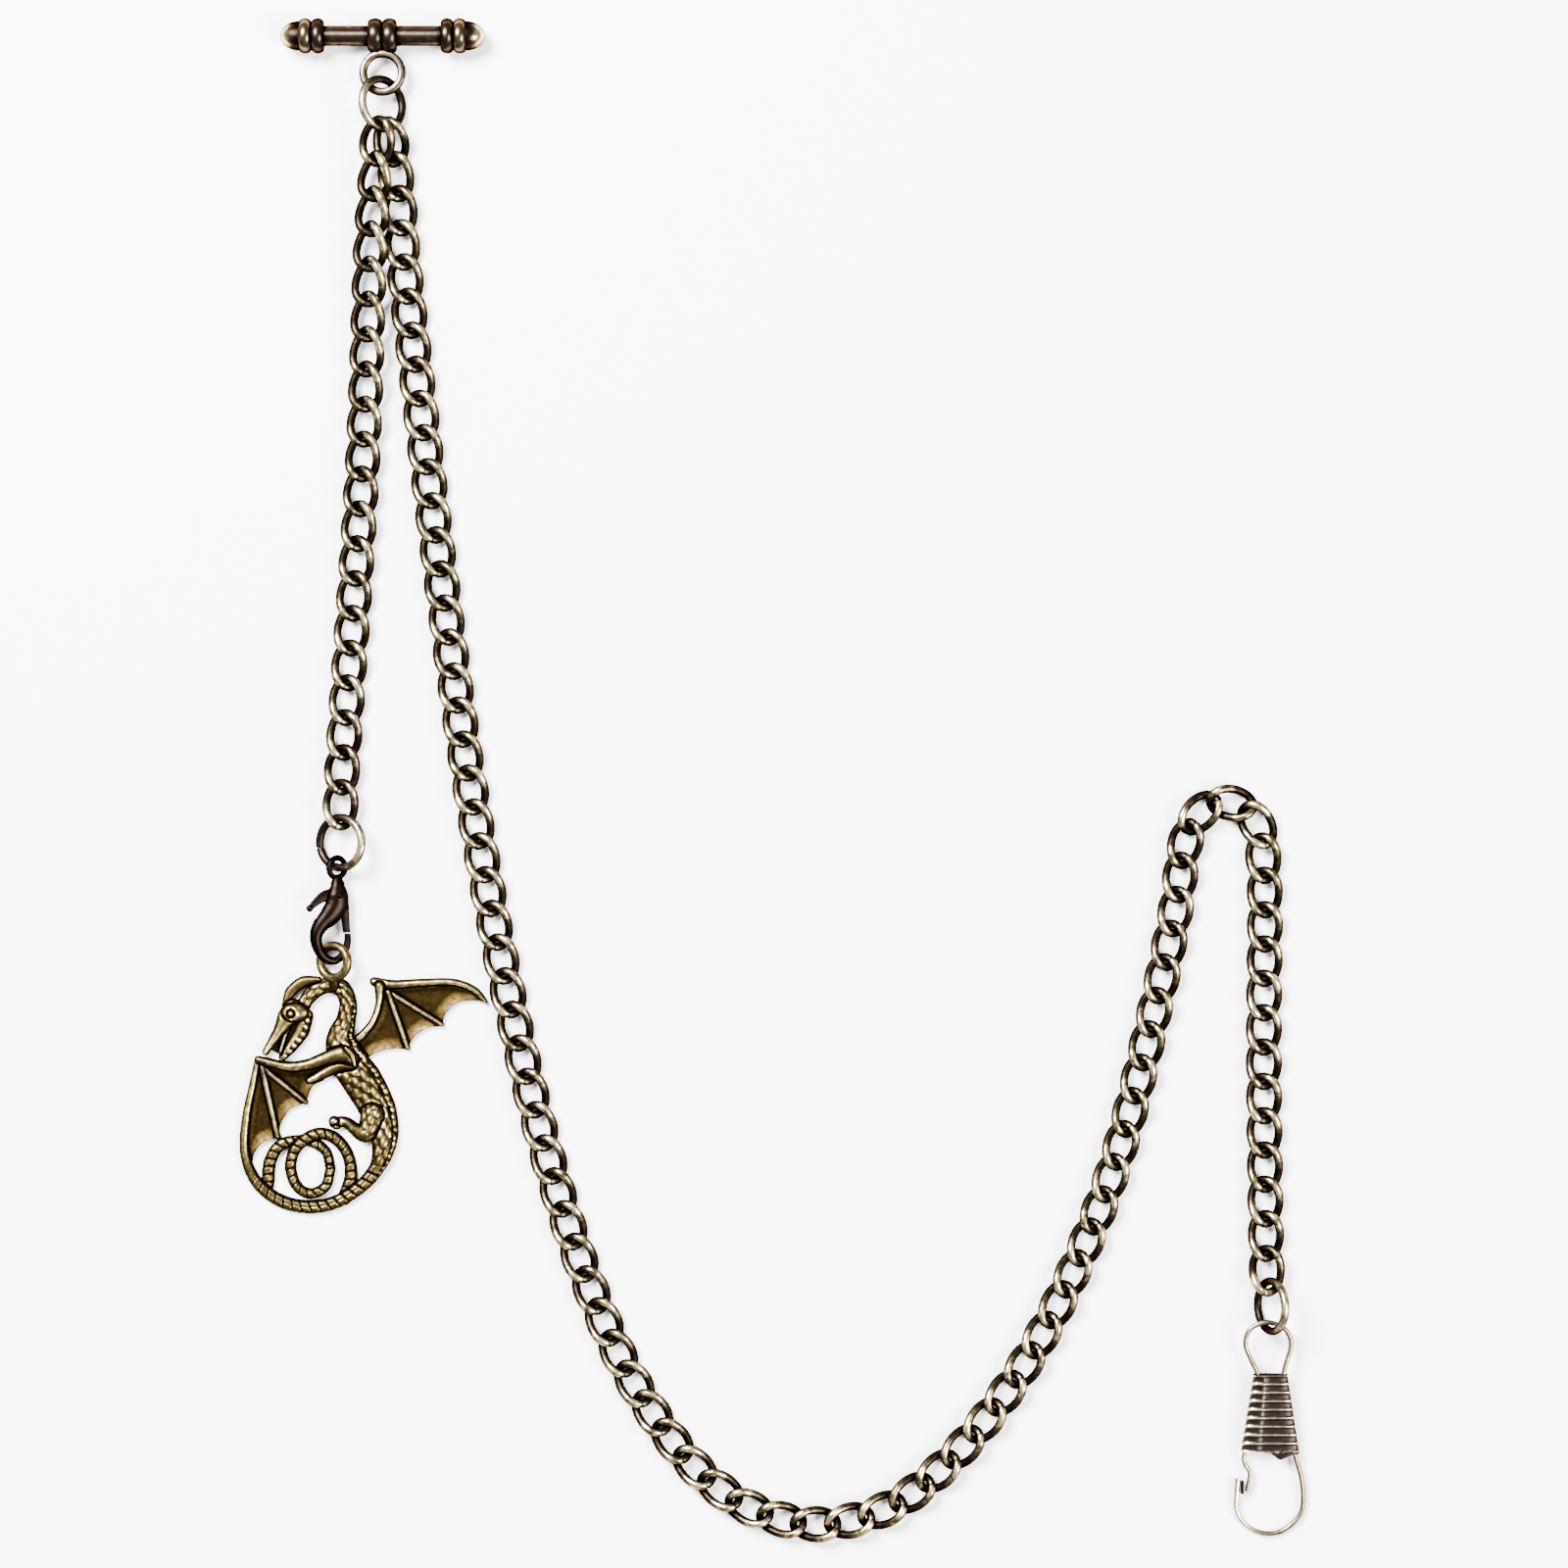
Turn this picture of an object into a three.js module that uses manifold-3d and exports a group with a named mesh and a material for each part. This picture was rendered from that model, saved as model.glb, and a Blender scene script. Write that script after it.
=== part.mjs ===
// Double pocket watch chain in aged brass, laid out flat.
// A T-bar, a short curb chain with a dragon charm on a lobster clasp, and a long curb chain with a
// spring watch clip. Millimetres, +Z up. The chain lies on z = 0 with the T-bar towards +Y.
import * as THREE from "three";
import { mergeVertices } from "three/addons/utils/BufferGeometryUtils.js";
import Module from "manifold-3d";

const wasm = await Module();
wasm.setup();

// ---------- driving dimensions ----------

// Curb chain. One link is an oval of round wire, twisted so that it lies flat in the chain.
const LINK_WIRE = 1.4;
const LINK_LENGTH = 8.6;
const LINK_WIDTH = 6.0;
const LINK_SLACK = 0.2;
const CROSSING_GAP = 0.28;
const LONG_RUNS = 18;
const SHORT_RUNS = 4;
const RUN_LINKS = 5;
// The long chain's first run is two links less, which keeps its tight bend inside one run.
const LONG_FIRST_RUN_LESS = 2;

// Jump rings.
const RING_WIRE = 1.36;
const RING_OUTER = 9.5;

// T-bar.
const T_BAR_LENGTH = 33.4;
const ROD_DIAMETER = 3.3;
const BEAD_DIAMETER = 5.76;
const BEAD_WIDTH = 2.05;
const DOME_DIAMETER = 4.8;
const DOME_HEIGHT = 3.1;
const COLLAR_BEAD_WIDTH = 2.35;
const EYE_OUTER = 7.6;
const EYE_WIRE = 1.35;
const ROD_SOCKET_DEPTH = 3;
const FIT_GAP = 0.1;

// Lobster clasp.
const CLASP_THICKNESS = 2.8;
const CLASP_SLOT = 1.35;
const LEVER_THICKNESS = 0.7;
const CLASP_PIN_DIAMETER = 0.9;
const CLASP_EYE_RADIUS = 1.6;
const CLASP_EYE_WIRE = 1.0;

// Dragon charm.
const BAIL_OUTER = 6.7;
const BAIL_WIRE = 1.5;
const CHARM_MIDDLE = 0.5;
const MEMBRANE_THICKNESS = 0.9;

// Watch clip.
const CLIP_WIRE = 0.82;
const GATE_WIRE = 0.75;
const SLEEVE_THICKNESS = 2.6;
const SLEEVE_WALL = 0.3;
const SLEEVE_TOP_WIDTH = 5.8;
const SLEEVE_BOTTOM_WIDTH = 9.75;
const SLEEVE_LENGTH = 12.6;
const SLEEVE_RIBS = 9;
const RIB_DEPTH = 0.16;

// ---------- where the pieces lie ----------

const T_BAR_CENTRE = new THREE.Vector3(-63.35, 121.2, BEAD_DIAMETER / 2);
const EYE_DROP = 6;

// Each ring leans on the surface. The tilt lowers its right side, the turn swings the axis that it
// tilts about, and the lift is its lowest point's height above the surface.
const TOP_RING = { x: -63.34, y: 110.05, tilt: 0.74, turn: 0.12, lift: 0 };
const FOB_RING = { x: -70.15, y: -10.1, tilt: -0.515, turn: 0, lift: 0.15 };
const CLIP_RING = { x: 81.2, y: -85.4, tilt: -1.08, turn: 0, lift: 0.08 };
const CLASP_EYE_CENTRE = new THREE.Vector3(-70.81, -14.19, 2.85);
const BAIL_CENTRE = new THREE.Vector3(-71.3, -29.5, 2.3);
const CLIP_LOOP_TOP = new THREE.Vector3(81.2, -88.3, 3.5);

// Centre of the link that hangs in a ring, in a direction given in degrees from +X. The play is how
// much nearer it lies than it would if both were flat and pulled tight.
function linkInRing(ring, direction, play) {
  const reach = LINK_LENGTH / 2 - LINK_WIRE + RING_OUTER / 2 - RING_WIRE - play;
  const angle = THREE.MathUtils.degToRad(direction);
  return [ring.x + reach * Math.cos(angle), ring.y + reach * Math.sin(angle)];
}

// Route of the long chain's link centres, from the top ring to the clip ring.
const LONG_ROUTE = [
  linkInRing(TOP_RING, -77.51, 0.094), [-61.3, 98.7], [-60.7, 93.0], [-60.3, 87.4], [-57.8, 65.0],
  [-53.7, 31.4], [-49.0, -2.1], [-42.8, -35.5], [-36.1, -62.8], [-29.0, -84.1], [-21.9, -99.1],
  [-12.1, -112.3], [-3.2, -118.7], [7.5, -121.2], [18.4, -118.8], [27.6, -112.2], [38.5, -99.3],
  [47.0, -84.7], [55.5, -63.9], [62.5, -37.1], [65.9, -20.7], [67.6, -9.6], [70.1, -5.0],
  [75.1, -3.7], [79.1, -7.1], [80.1, -12.4], [80.2, -46.2], linkInRing(CLIP_RING, 96.12, 0.658),
];

// Route of the short chain's link centres, from the top ring to the fob ring.
const SHORT_ROUTE = [
  linkInRing(TOP_RING, -97.04, 0.093), [-64.5, 98.5], [-64.9, 93.0], [-65.3, 86.9], [-66.6, 53.0],
  [-70.0, 1.8], linkInRing(FOB_RING, 90.46, 0.09),
];

// The short chain starts on top of the long one and comes down to the surface over these links. It
// nests a little way into the long one.
const STACK_NESTING = 0.068;
const STACK_LINKS = 14.7;
const STACK_ROLL = 0.47;

// ---------- materials ----------

const DARK_BRASS = new THREE.MeshStandardMaterial({ color: 0x5a4a33, roughness: 0.38, metalness: 1 });
const RING_BRASS = new THREE.MeshStandardMaterial({ color: 0x7a6a4c, roughness: 0.34, metalness: 1 });
const CHARM_BRASS = new THREE.MeshStandardMaterial({ color: 0x9a8240, roughness: 0.36, metalness: 1 });
const CLASP_BRASS = new THREE.MeshStandardMaterial({ color: 0x4b382b, roughness: 0.36, metalness: 1 });
const CLIP_BRASS = new THREE.MeshStandardMaterial({ color: 0xb59f78, roughness: 0.3, metalness: 1 });
const SLEEVE_BRASS = new THREE.MeshStandardMaterial({ color: 0x6a5848, roughness: 0.36, metalness: 1 });
const SPRING_STEEL = new THREE.MeshStandardMaterial({ color: 0x8d8f92, roughness: 0.4, metalness: 1 });

// ---------- shape tools ----------

const UP = new THREE.Vector3(0, 0, 1);
const FULL_TURN = 2 * Math.PI;

function vectors(points) {
  return points.map(([x, y, z = 0]) => new THREE.Vector3(x, y, z));
}

function indexedGeometry(positions, indices) {
  const geometry = new THREE.BufferGeometry();
  geometry.setAttribute("position", new THREE.Float32BufferAttribute(positions, 3));
  geometry.setIndex(indices);
  return geometry;
}

function toSolid(geometry) {
  const bare = geometry.clone();
  bare.deleteAttribute("normal");
  bare.deleteAttribute("uv");
  const merged = mergeVertices(bare, 1e-4);
  const vertProperties = new Float32Array(merged.attributes.position.array);
  const triVerts = new Uint32Array(merged.index.array);
  return new wasm.Manifold(new wasm.Mesh({ numProp: 3, vertProperties, triVerts }));
}

function fromSolid(solid) {
  const { vertProperties, triVerts } = solid.getMesh();
  return indexedGeometry(Array.from(vertProperties), Array.from(triVerts));
}

function joined(geometries) {
  const [first, ...others] = geometries.map(toSolid);
  return others.reduce((whole, piece) => whole.add(piece), first);
}

function boxGeometry(low, high) {
  const size = high.clone().sub(low);
  const centre = low.clone().add(high).multiplyScalar(0.5);
  return new THREE.BoxGeometry(size.x, size.y, size.z).translate(centre.x, centre.y, centre.z);
}

// Skin over rings of points that all have the same count, outward when each ring runs
// anticlockwise seen from the next one. Its two ends are capped, or joined to each other.
function skinGeometry(rings, closed) {
  const sides = rings[0].length;
  const positions = rings.flat().flatMap((point) => point.toArray());
  const indices = [];
  const lastRing = closed ? rings.length : rings.length - 1;
  for (let ring = 0; ring < lastRing; ring++) {
    const here = ring * sides;
    const next = ((ring + 1) % rings.length) * sides;
    for (let side = 0; side < sides; side++) {
      const turn = (side + 1) % sides;
      indices.push(here + side, here + turn, next + side);
      indices.push(here + turn, next + turn, next + side);
    }
  }
  if (!closed) {
    const end = (rings.length - 1) * sides;
    for (let side = 1; side < sides - 1; side++) {
      indices.push(0, side + 1, side);
      indices.push(end, end + side, end + side + 1);
    }
  }
  return indexedGeometry(positions, indices);
}

// Wire along pointAt(0..1). widthAt and heightAt give its half width and half height there.
function wireGeometry(pointAt, widthAt, heightAt, steps, sides, closed = false) {
  const rings = [];
  const ringCount = closed ? steps : steps + 1;
  const nudge = 1e-3;
  for (let step = 0; step < ringCount; step++) {
    const t = step / steps;
    const before = closed ? t - nudge : Math.max(t - nudge, 0);
    const after = closed ? t + nudge : Math.min(t + nudge, 1);
    const along = pointAt(after).sub(pointAt(before)).normalize();
    const across = UP.clone().cross(along).normalize();
    const above = along.clone().cross(across);
    const ring = [];
    for (let side = 0; side < sides; side++) {
      const angle = (FULL_TURN * side) / sides - Math.PI / 2;
      ring.push(
        pointAt(t)
          .addScaledVector(across, widthAt(t) * Math.cos(angle))
          .addScaledVector(above, heightAt(t) * Math.sin(angle)),
      );
    }
    rings.push(ring);
  }
  return skinGeometry(rings, closed);
}

// Wire through points, with half widths given at each point.
function taperedWire(points, halfWidths, steps, sides, heightOf = (width) => width) {
  const curve = new THREE.CatmullRomCurve3(vectors(points), false, "centripetal");
  const last = halfWidths.length - 1;
  const widthAt = (t) => {
    const place = Math.min(t * last, last - 1e-9);
    const index = Math.floor(place);
    return THREE.MathUtils.lerp(halfWidths[index], halfWidths[index + 1], place - index);
  };
  return wireGeometry((t) => curve.getPoint(t), widthAt, (t) => heightOf(widthAt(t)), steps, sides);
}

function plateGeometry(outline, thickness, bottom) {
  const shape = new THREE.Shape(outline.map(([x, y]) => new THREE.Vector2(x, y)));
  const geometry = new THREE.ExtrudeGeometry(shape, { depth: thickness, bevelEnabled: false });
  return geometry.translate(0, 0, bottom);
}

function lathePoints(points) {
  return points.map(([radius, height]) => new THREE.Vector2(radius, height));
}

function meshOf(name, geometry, material) {
  const mesh = new THREE.Mesh(geometry, material);
  mesh.name = name;
  return mesh;
}

// ---------- curb chain ----------

const LINK_STEPS = 10;
const LINK_SIDES = 4;
const linkHalfLength = (LINK_LENGTH - LINK_WIRE) / 2;
const linkHalfWidth = (LINK_WIDTH - LINK_WIRE) / 2;
const linkPitch = LINK_LENGTH - 2 * LINK_WIRE - LINK_SLACK;
const crossingAngle = Math.acos(linkPitch / (2 * linkHalfLength));
const linkTwist = (LINK_WIRE + CROSSING_GAP) / (2 * Math.sin(2 * crossingAngle));
const chainMiddle = linkTwist + LINK_WIRE / 2;
const stackLift = 2 * chainMiddle - STACK_NESTING;

function linkPoint(angle) {
  const x = linkHalfLength * Math.cos(angle);
  const y = linkHalfWidth * Math.sin(angle);
  const z = -linkTwist * Math.sin(2 * angle);
  return new THREE.Vector3(x, y, z);
}

function linkGeometry() {
  const radius = () => LINK_WIRE / 2;
  return wireGeometry((t) => linkPoint(FULL_TURN * t), radius, radius, LINK_STEPS, LINK_SIDES, true);
}

// Poses of the links, evenly spaced along a route. poseOf(index, count) gives each link's rise
// above the surface, and how far its forward end dips and its left side lifts, in radians.
function linkPoses(routePoints, poseOf) {
  const route = new THREE.CatmullRomCurve3(vectors(routePoints), false, "centripetal");
  route.arcLengthDivisions = 4000;
  const count = Math.round(route.getLength() / linkPitch) + 1;
  const poses = [];
  for (let index = 0; index < count; index++) {
    const centre = route.getPointAt(index / (count - 1));
    const heading = route.getTangentAt(index / (count - 1));
    const { rise = 0, dip = 0, roll = 0 } = poseOf(index, count);
    const turn = new THREE.Euler(roll, dip, Math.atan2(heading.y, heading.x), "ZYX");
    const pose = new THREE.Matrix4().makeRotationFromEuler(turn);
    pose.setPosition(centre.x, centre.y, chainMiddle + rise);
    poses.push(pose);
  }
  return poses;
}

// A bead between the wires of two neighbouring links, where they cross.
function crossingBead(pose, nextPose) {
  const from = linkPoint(crossingAngle).applyMatrix4(pose);
  const to = linkPoint(Math.PI - crossingAngle).applyMatrix4(nextPose);
  const length = from.distanceTo(to);
  const bead = new THREE.CylinderGeometry(LINK_WIRE / 4, LINK_WIRE / 4, length, 3);
  const turn = new THREE.Quaternion().setFromUnitVectors(
    new THREE.Vector3(0, 1, 0),
    to.clone().sub(from).normalize(),
  );
  bead.applyQuaternion(turn);
  const middle = from.add(to).multiplyScalar(0.5);
  return bead.translate(middle.x, middle.y, middle.z);
}

// Links joined in runs, one node each. Neighbouring runs interlock with a real gap. The first run
// is shorter by some links, and so the last run is too.
function chainRuns(baseName, poses, runCount, linksLess) {
  const runs = [];
  const fullLength = poses.length + (linksLess ? RUN_LINKS : 0);
  const startOf = (run) => Math.floor((run * fullLength) / runCount) - linksLess;
  for (let run = 0; run < runCount; run++) {
    const first = Math.max(0, startOf(run));
    const end = Math.min(poses.length, startOf(run + 1));
    const pieces = [];
    for (let index = first; index < end; index++) {
      pieces.push(linkGeometry().applyMatrix4(poses[index]));
      if (index + 1 < end) {
        pieces.push(crossingBead(poses[index], poses[index + 1]));
      }
    }
    const name = `${baseName}_${String(run + 1).padStart(2, "0")}`;
    runs.push(meshOf(name, fromSolid(joined(pieces)), DARK_BRASS));
  }
  return runs;
}

function longLinkPose(index, count) {
  if (index === 0) {
    return { rise: 0.84, dip: 0.28, roll: 0.09 };
  }
  if (index === count - 1) {
    return { rise: 0.78, dip: -0.18 };
  }
  if (index === count - 2) {
    return { rise: 0.11, dip: -0.04 };
  }
  return {};
}

function shortLinkPose(index, count) {
  const high = Math.max(0, 1 - index / STACK_LINKS);
  const rise = stackLift * high * high;
  const dip = Math.atan((2 * stackLift * high) / (STACK_LINKS * linkPitch));
  const roll = STACK_ROLL * high;
  if (index === 0) {
    return { rise: rise - 0.26, dip: dip - 0.11, roll: roll - 0.35 };
  }
  if (index === count - 1) {
    return { rise: 0.93, dip: -0.09, roll: -0.05 };
  }
  if (index === count - 2) {
    return { rise: 0.33, dip: -0.12, roll: -0.04 };
  }
  return { rise, dip, roll };
}

const longPoses = linkPoses(LONG_ROUTE, longLinkPose);
const longChain = chainRuns("long_chain_run", longPoses, LONG_RUNS, LONG_FIRST_RUN_LESS);
const shortPoses = linkPoses(SHORT_ROUTE, shortLinkPose);
const shortChain = chainRuns("short_chain_run", shortPoses, SHORT_RUNS, 0);

// ---------- jump rings ----------

function jumpRing(name, { x, y, tilt, turn, lift }) {
  const radius = (RING_OUTER - RING_WIRE) / 2;
  const geometry = new THREE.TorusGeometry(radius, RING_WIRE / 2, 6, 18);
  const mesh = meshOf(name, geometry, RING_BRASS);
  mesh.position.set(x, y, radius * Math.sin(Math.abs(tilt)) + RING_WIRE / 2 + lift);
  mesh.rotation.set(0, tilt, turn, "ZYX");
  return mesh;
}

const jumpRings = [
  jumpRing("top_jump_ring", TOP_RING),
  jumpRing("fob_jump_ring", FOB_RING),
  jumpRing("clip_jump_ring", CLIP_RING),
];

// ---------- T-bar ----------

const LATHE_SIDES = 12;

// Half of a turned bead's outline, from its start to its end along the bar.
function beadProfile(start, width, outerRadius, innerRadius) {
  const steps = 4;
  const points = [];
  for (let step = 0; step <= steps; step++) {
    const angle = (Math.PI * step) / steps;
    const height = start + (width * (1 - Math.cos(angle))) / 2;
    const radius = innerRadius + (outerRadius - innerRadius) * Math.sin(angle);
    points.push([radius, height]);
  }
  return points;
}

function domeProfile(start) {
  const steps = 4;
  const points = [];
  for (let step = 0; step <= steps; step++) {
    const angle = (Math.PI / 2) * (step / steps);
    points.push([(DOME_DIAMETER / 2) * Math.cos(angle), start + DOME_HEIGHT * Math.sin(angle)]);
  }
  return points;
}

function turned(points) {
  const halfFacet = Math.PI / LATHE_SIDES;
  const geometry = new THREE.LatheGeometry(lathePoints(points), LATHE_SIDES, halfFacet);
  return geometry.rotateZ(-Math.PI / 2);
}

const finialLength = 2 * BEAD_WIDTH + DOME_HEIGHT;
const finialStart = T_BAR_LENGTH / 2 - finialLength;
const rodRadius = ROD_DIAMETER / 2;
const boreRadius = rodRadius + FIT_GAP;
const beadRadius = BEAD_DIAMETER / 2;
const grooveRadius = beadRadius - 0.7;

function finialGeometry() {
  return turned([
    [0, ROD_SOCKET_DEPTH],
    [boreRadius, ROD_SOCKET_DEPTH],
    [boreRadius, 0],
    ...beadProfile(0, BEAD_WIDTH, beadRadius, grooveRadius),
    ...beadProfile(BEAD_WIDTH, BEAD_WIDTH, beadRadius, grooveRadius).slice(1, -1),
    ...domeProfile(2 * BEAD_WIDTH),
  ]);
}

function rodGeometry() {
  const halfLength = finialStart + ROD_SOCKET_DEPTH - FIT_GAP;
  return turned([[0, -halfLength], [rodRadius, -halfLength], [rodRadius, halfLength], [0, halfLength]]);
}

function collarGeometry() {
  const band = turned([
    [boreRadius, -COLLAR_BEAD_WIDTH],
    ...beadProfile(-COLLAR_BEAD_WIDTH, COLLAR_BEAD_WIDTH, beadRadius, grooveRadius),
    ...beadProfile(0, COLLAR_BEAD_WIDTH, beadRadius, grooveRadius).slice(1),
    [boreRadius, COLLAR_BEAD_WIDTH],
    [boreRadius, -COLLAR_BEAD_WIDTH],
  ]);
  const eye = new THREE.TorusGeometry((EYE_OUTER - EYE_WIRE) / 2, EYE_WIRE / 2, 6, 18);
  eye.translate(0, -EYE_DROP, 0);
  return fromSolid(joined([band, eye]));
}

const rightFinial = meshOf("t_bar_finial_right", finialGeometry(), DARK_BRASS);
rightFinial.position.x = finialStart;
const leftFinial = meshOf("t_bar_finial_left", finialGeometry(), DARK_BRASS);
leftFinial.position.x = -finialStart;
leftFinial.rotation.z = Math.PI;

const tBar = new THREE.Group();
tBar.position.copy(T_BAR_CENTRE);
tBar.add(meshOf("t_bar_rod", rodGeometry(), DARK_BRASS));
tBar.add(meshOf("t_bar_collar", collarGeometry(), DARK_BRASS));
tBar.add(leftFinial, rightFinial);

// ---------- lobster clasp ----------
// Its own frame has the eye at the origin and the hook towards -Y.

const CLASP_PIVOT = new THREE.Vector3(0.3, -4.4, 0);
const CLASP_SLOT_TOP = -2.7;
const CLASP_SLOT_BOTTOM = -8.3;
const LEVER_SHIFT = -0.1;

const CLASP_BELLY = [
  [-0.9, -1.2], [-1.4, -2.6], [-2.3, -4.0], [-3.0, -5.6], [-3.9, -7.6], [-4.1, -9.2], [-2.2, -9.4],
  [-0.9, -8.4], [0.3, -7.5], [1.4, -6.6], [1.95, -5.4], [1.9, -3.6], [1.2, -1.6], [0.6, -1.2],
];
const CLASP_HOOK = [
  [-3.2, -8.4], [-3.4, -10.7], [-3.1, -12.9], [-2.0, -14.6], [-0.3, -15.2], [1.1, -14.3],
  [1.8, -12.6], [1.9, -10.8],
];
const CLASP_HOOK_RADII = [0.95, 1.0, 0.9, 0.75, 0.62, 0.62, 0.6, 0.5];
const LEVER_OUTLINE = [
  [-4.8, -6.75], [-4.75, -6.0], [-3.3, -5.0], [-1.7, -3.8], [0.3, -3.4], [1.4, -4.2], [1.75, -6.3],
  [2.0, -10.1], [1.2, -10.35], [0.5, -7.6], [-1.0, -6.3], [-3.6, -6.6], [-4.2, -7.0],
];

function pinGeometry(radius, length) {
  const pin = new THREE.CylinderGeometry(radius, radius, length, 8).rotateX(Math.PI / 2);
  return pin.translate(CLASP_PIVOT.x, CLASP_PIVOT.y, 0);
}

function claspBodyGeometry() {
  const belly = plateGeometry(CLASP_BELLY, CLASP_THICKNESS, -CLASP_THICKNESS / 2);
  const hook = taperedWire(CLASP_HOOK, CLASP_HOOK_RADII, 12, 6);
  const eye = new THREE.TorusGeometry(CLASP_EYE_RADIUS, CLASP_EYE_WIRE / 2, 6, 12);
  eye.rotateY(0.4);
  const slot = boxGeometry(
    new THREE.Vector3(-6, CLASP_SLOT_BOTTOM, -CLASP_SLOT / 2),
    new THREE.Vector3(4, CLASP_SLOT_TOP, CLASP_SLOT / 2),
  );
  const bore = pinGeometry(CLASP_PIN_DIAMETER / 2 + FIT_GAP, 2 * CLASP_THICKNESS);
  const body = joined([belly, hook, eye]).subtract(toSolid(slot)).subtract(toSolid(bore));
  return fromSolid(body);
}

function leverGeometry() {
  const bottom = LEVER_SHIFT - LEVER_THICKNESS / 2;
  const plate = plateGeometry(LEVER_OUTLINE, LEVER_THICKNESS, bottom);
  const bore = pinGeometry(CLASP_PIN_DIAMETER / 2 + FIT_GAP, 2 * CLASP_THICKNESS);
  return fromSolid(toSolid(plate).subtract(toSolid(bore)));
}

// The return spring is a flat coil around the pin, between the lever and the upper cheek.
function claspSpringGeometry() {
  const inner = CLASP_PIN_DIAMETER / 2 + FIT_GAP;
  const outer = inner + 0.35;
  const bottom = LEVER_SHIFT + LEVER_THICKNESS / 2 + 0.06;
  const top = CLASP_SLOT / 2 - 0.06;
  const profile = [[inner, bottom], [outer, bottom], [outer, top], [inner, top], [inner, bottom]];
  const coil = new THREE.LatheGeometry(lathePoints(profile), 10).rotateX(Math.PI / 2);
  return coil.translate(CLASP_PIVOT.x, CLASP_PIVOT.y, 0);
}

const clasp = new THREE.Group();
clasp.position.copy(CLASP_EYE_CENTRE);
clasp.rotation.set(0.05, 0.31, 0);
clasp.add(meshOf("lobster_body", claspBodyGeometry(), CLASP_BRASS));
clasp.add(meshOf("lobster_lever", leverGeometry(), CLASP_BRASS));
clasp.add(meshOf("lobster_pin", pinGeometry(CLASP_PIN_DIAMETER / 2, CLASP_THICKNESS), CLASP_BRASS));
clasp.add(meshOf("lobster_spring", claspSpringGeometry(), SPRING_STEEL));

// ---------- dragon charm ----------
// Its own frame has the bail's centre at the origin. It is a casting with a flat back.

const CHARM_TOP = 1.6;

// Neck, torso and the tail's outer sweep, from under the bail round to the wing's corner.
const DRAGON_SPINE = [
  [-0.3, -3.5], [1.4, -4.6], [2.2, -6.6], [1.7, -9.6], [0.9, -12.6], [1.7, -15.6], [4.4, -19.4],
  [6.9, -24.0], [8.1, -28.6], [7.0, -33.4], [3.4, -37.4], [-2.0, -39.9], [-8.0, -39.4],
  [-12.6, -36.2], [-14.9, -31.4], [-14.6, -25.6], [-13.4, -20.0], [-12.6, -15.9],
];
const DRAGON_SPINE_WIDTHS = [
  1.0, 1.3, 1.4, 1.6, 2.2, 3.0, 3.3, 3.0, 2.2, 1.3, 1.1, 1.1, 1.1, 1.0, 0.8, 0.7, 0.6, 0.5,
];
const DRAGON_WIRES = [
  // root of the bail
  [[[0, -2.7, 1.6], [0, -4.4, 0.2]], [0.9, 1.2]],
  // upper neck and head, lower jaw, crest
  [[[0, -3.6], [-2.6, -4.6], [-5.0, -6.6], [-7.2, -8.8], [-9.6, -12.2], [-11.2, -14.6]],
    [1.0, 1.2, 1.5, 1.7, 1.0, 0.6]],
  [[[-4.9, -8.0], [-5.6, -11.4], [-7.0, -14.6]], [1.4, 1.3, 0.8]],
  [[[-1.6, -3.2], [-4.4, -3.3], [-7.2, -5.2], [-8.7, -7.8]], [0.7, 1.0, 0.9, 0.5]],
  // left wing: arm and two bones
  [[[1.8, -14.9], [-2.4, -16.7], [-6.4, -17.4], [-12.4, -15.9]], [1.7, 1.2, 0.9, 0.6]],
  [[[-11.8, -17.0], [-4.9, -22.8]], [0.5, 0.5]],
  [[[-11.8, -17.0], [-9.3, -28.6]], [0.5, 0.5]],
  // right wing: edge, two bones and the arm down to the shoulder
  [[[6.4, -3.0], [9.4, -4.2], [14.6, -3.7], [19.8, -3.3], [23.0, -4.7], [24.6, -6.6]],
    [0.5, 0.8, 0.7, 0.6, 0.6, 0.4]],
  [[[8.7, -4.6], [17.7, -10.0]], [0.5, 0.5]],
  [[[8.4, -4.8], [11.9, -14.2]], [0.5, 0.5]],
  [[[8.4, -4.4], [7.3, -8.6], [5.4, -11.6], [2.4, -13.4]], [0.6, 0.6, 0.6, 0.8]],
  // hind leg and paw
  [[[6.4, -27.2], [4.6, -27.9], [3.0, -26.3], [0.3, -26.5]], [1.3, 1.1, 0.9, 0.8]],
];
// The tail's end rises from the outer sweep, loops once and comes back down to the sweep.
const DRAGON_TAIL = [
  [1.6, -38.6], [2.6, -35.0], [2.1, -31.6], [0.1, -28.9], [-2.4, -28.1], [-4.9, -29.1],
  [-6.8, -31.3], [-7.2, -34.0], [-6.1, -36.8], [-4.0, -37.9], [-1.6, -36.8], [-0.7, -33.8],
  [-1.5, -31.0], [-3.6, -29.5], [-6.4, -29.3], [-8.9, -30.0], [-10.5, -32.4], [-11.0, -36.4],
];
const LEFT_MEMBRANE = [
  [-12.6, -16.4], [-9.0, -17.4], [-5.6, -17.8], [-2.2, -17.2], [-0.8, -18.6], [-2.8, -20.0],
  [-4.6, -22.8], [-7.4, -24.6], [-9.0, -28.6], [-12.2, -30.6], [-13.6, -33.0], [-14.6, -31.0],
  [-14.4, -26.0], [-13.4, -20.6],
];
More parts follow.
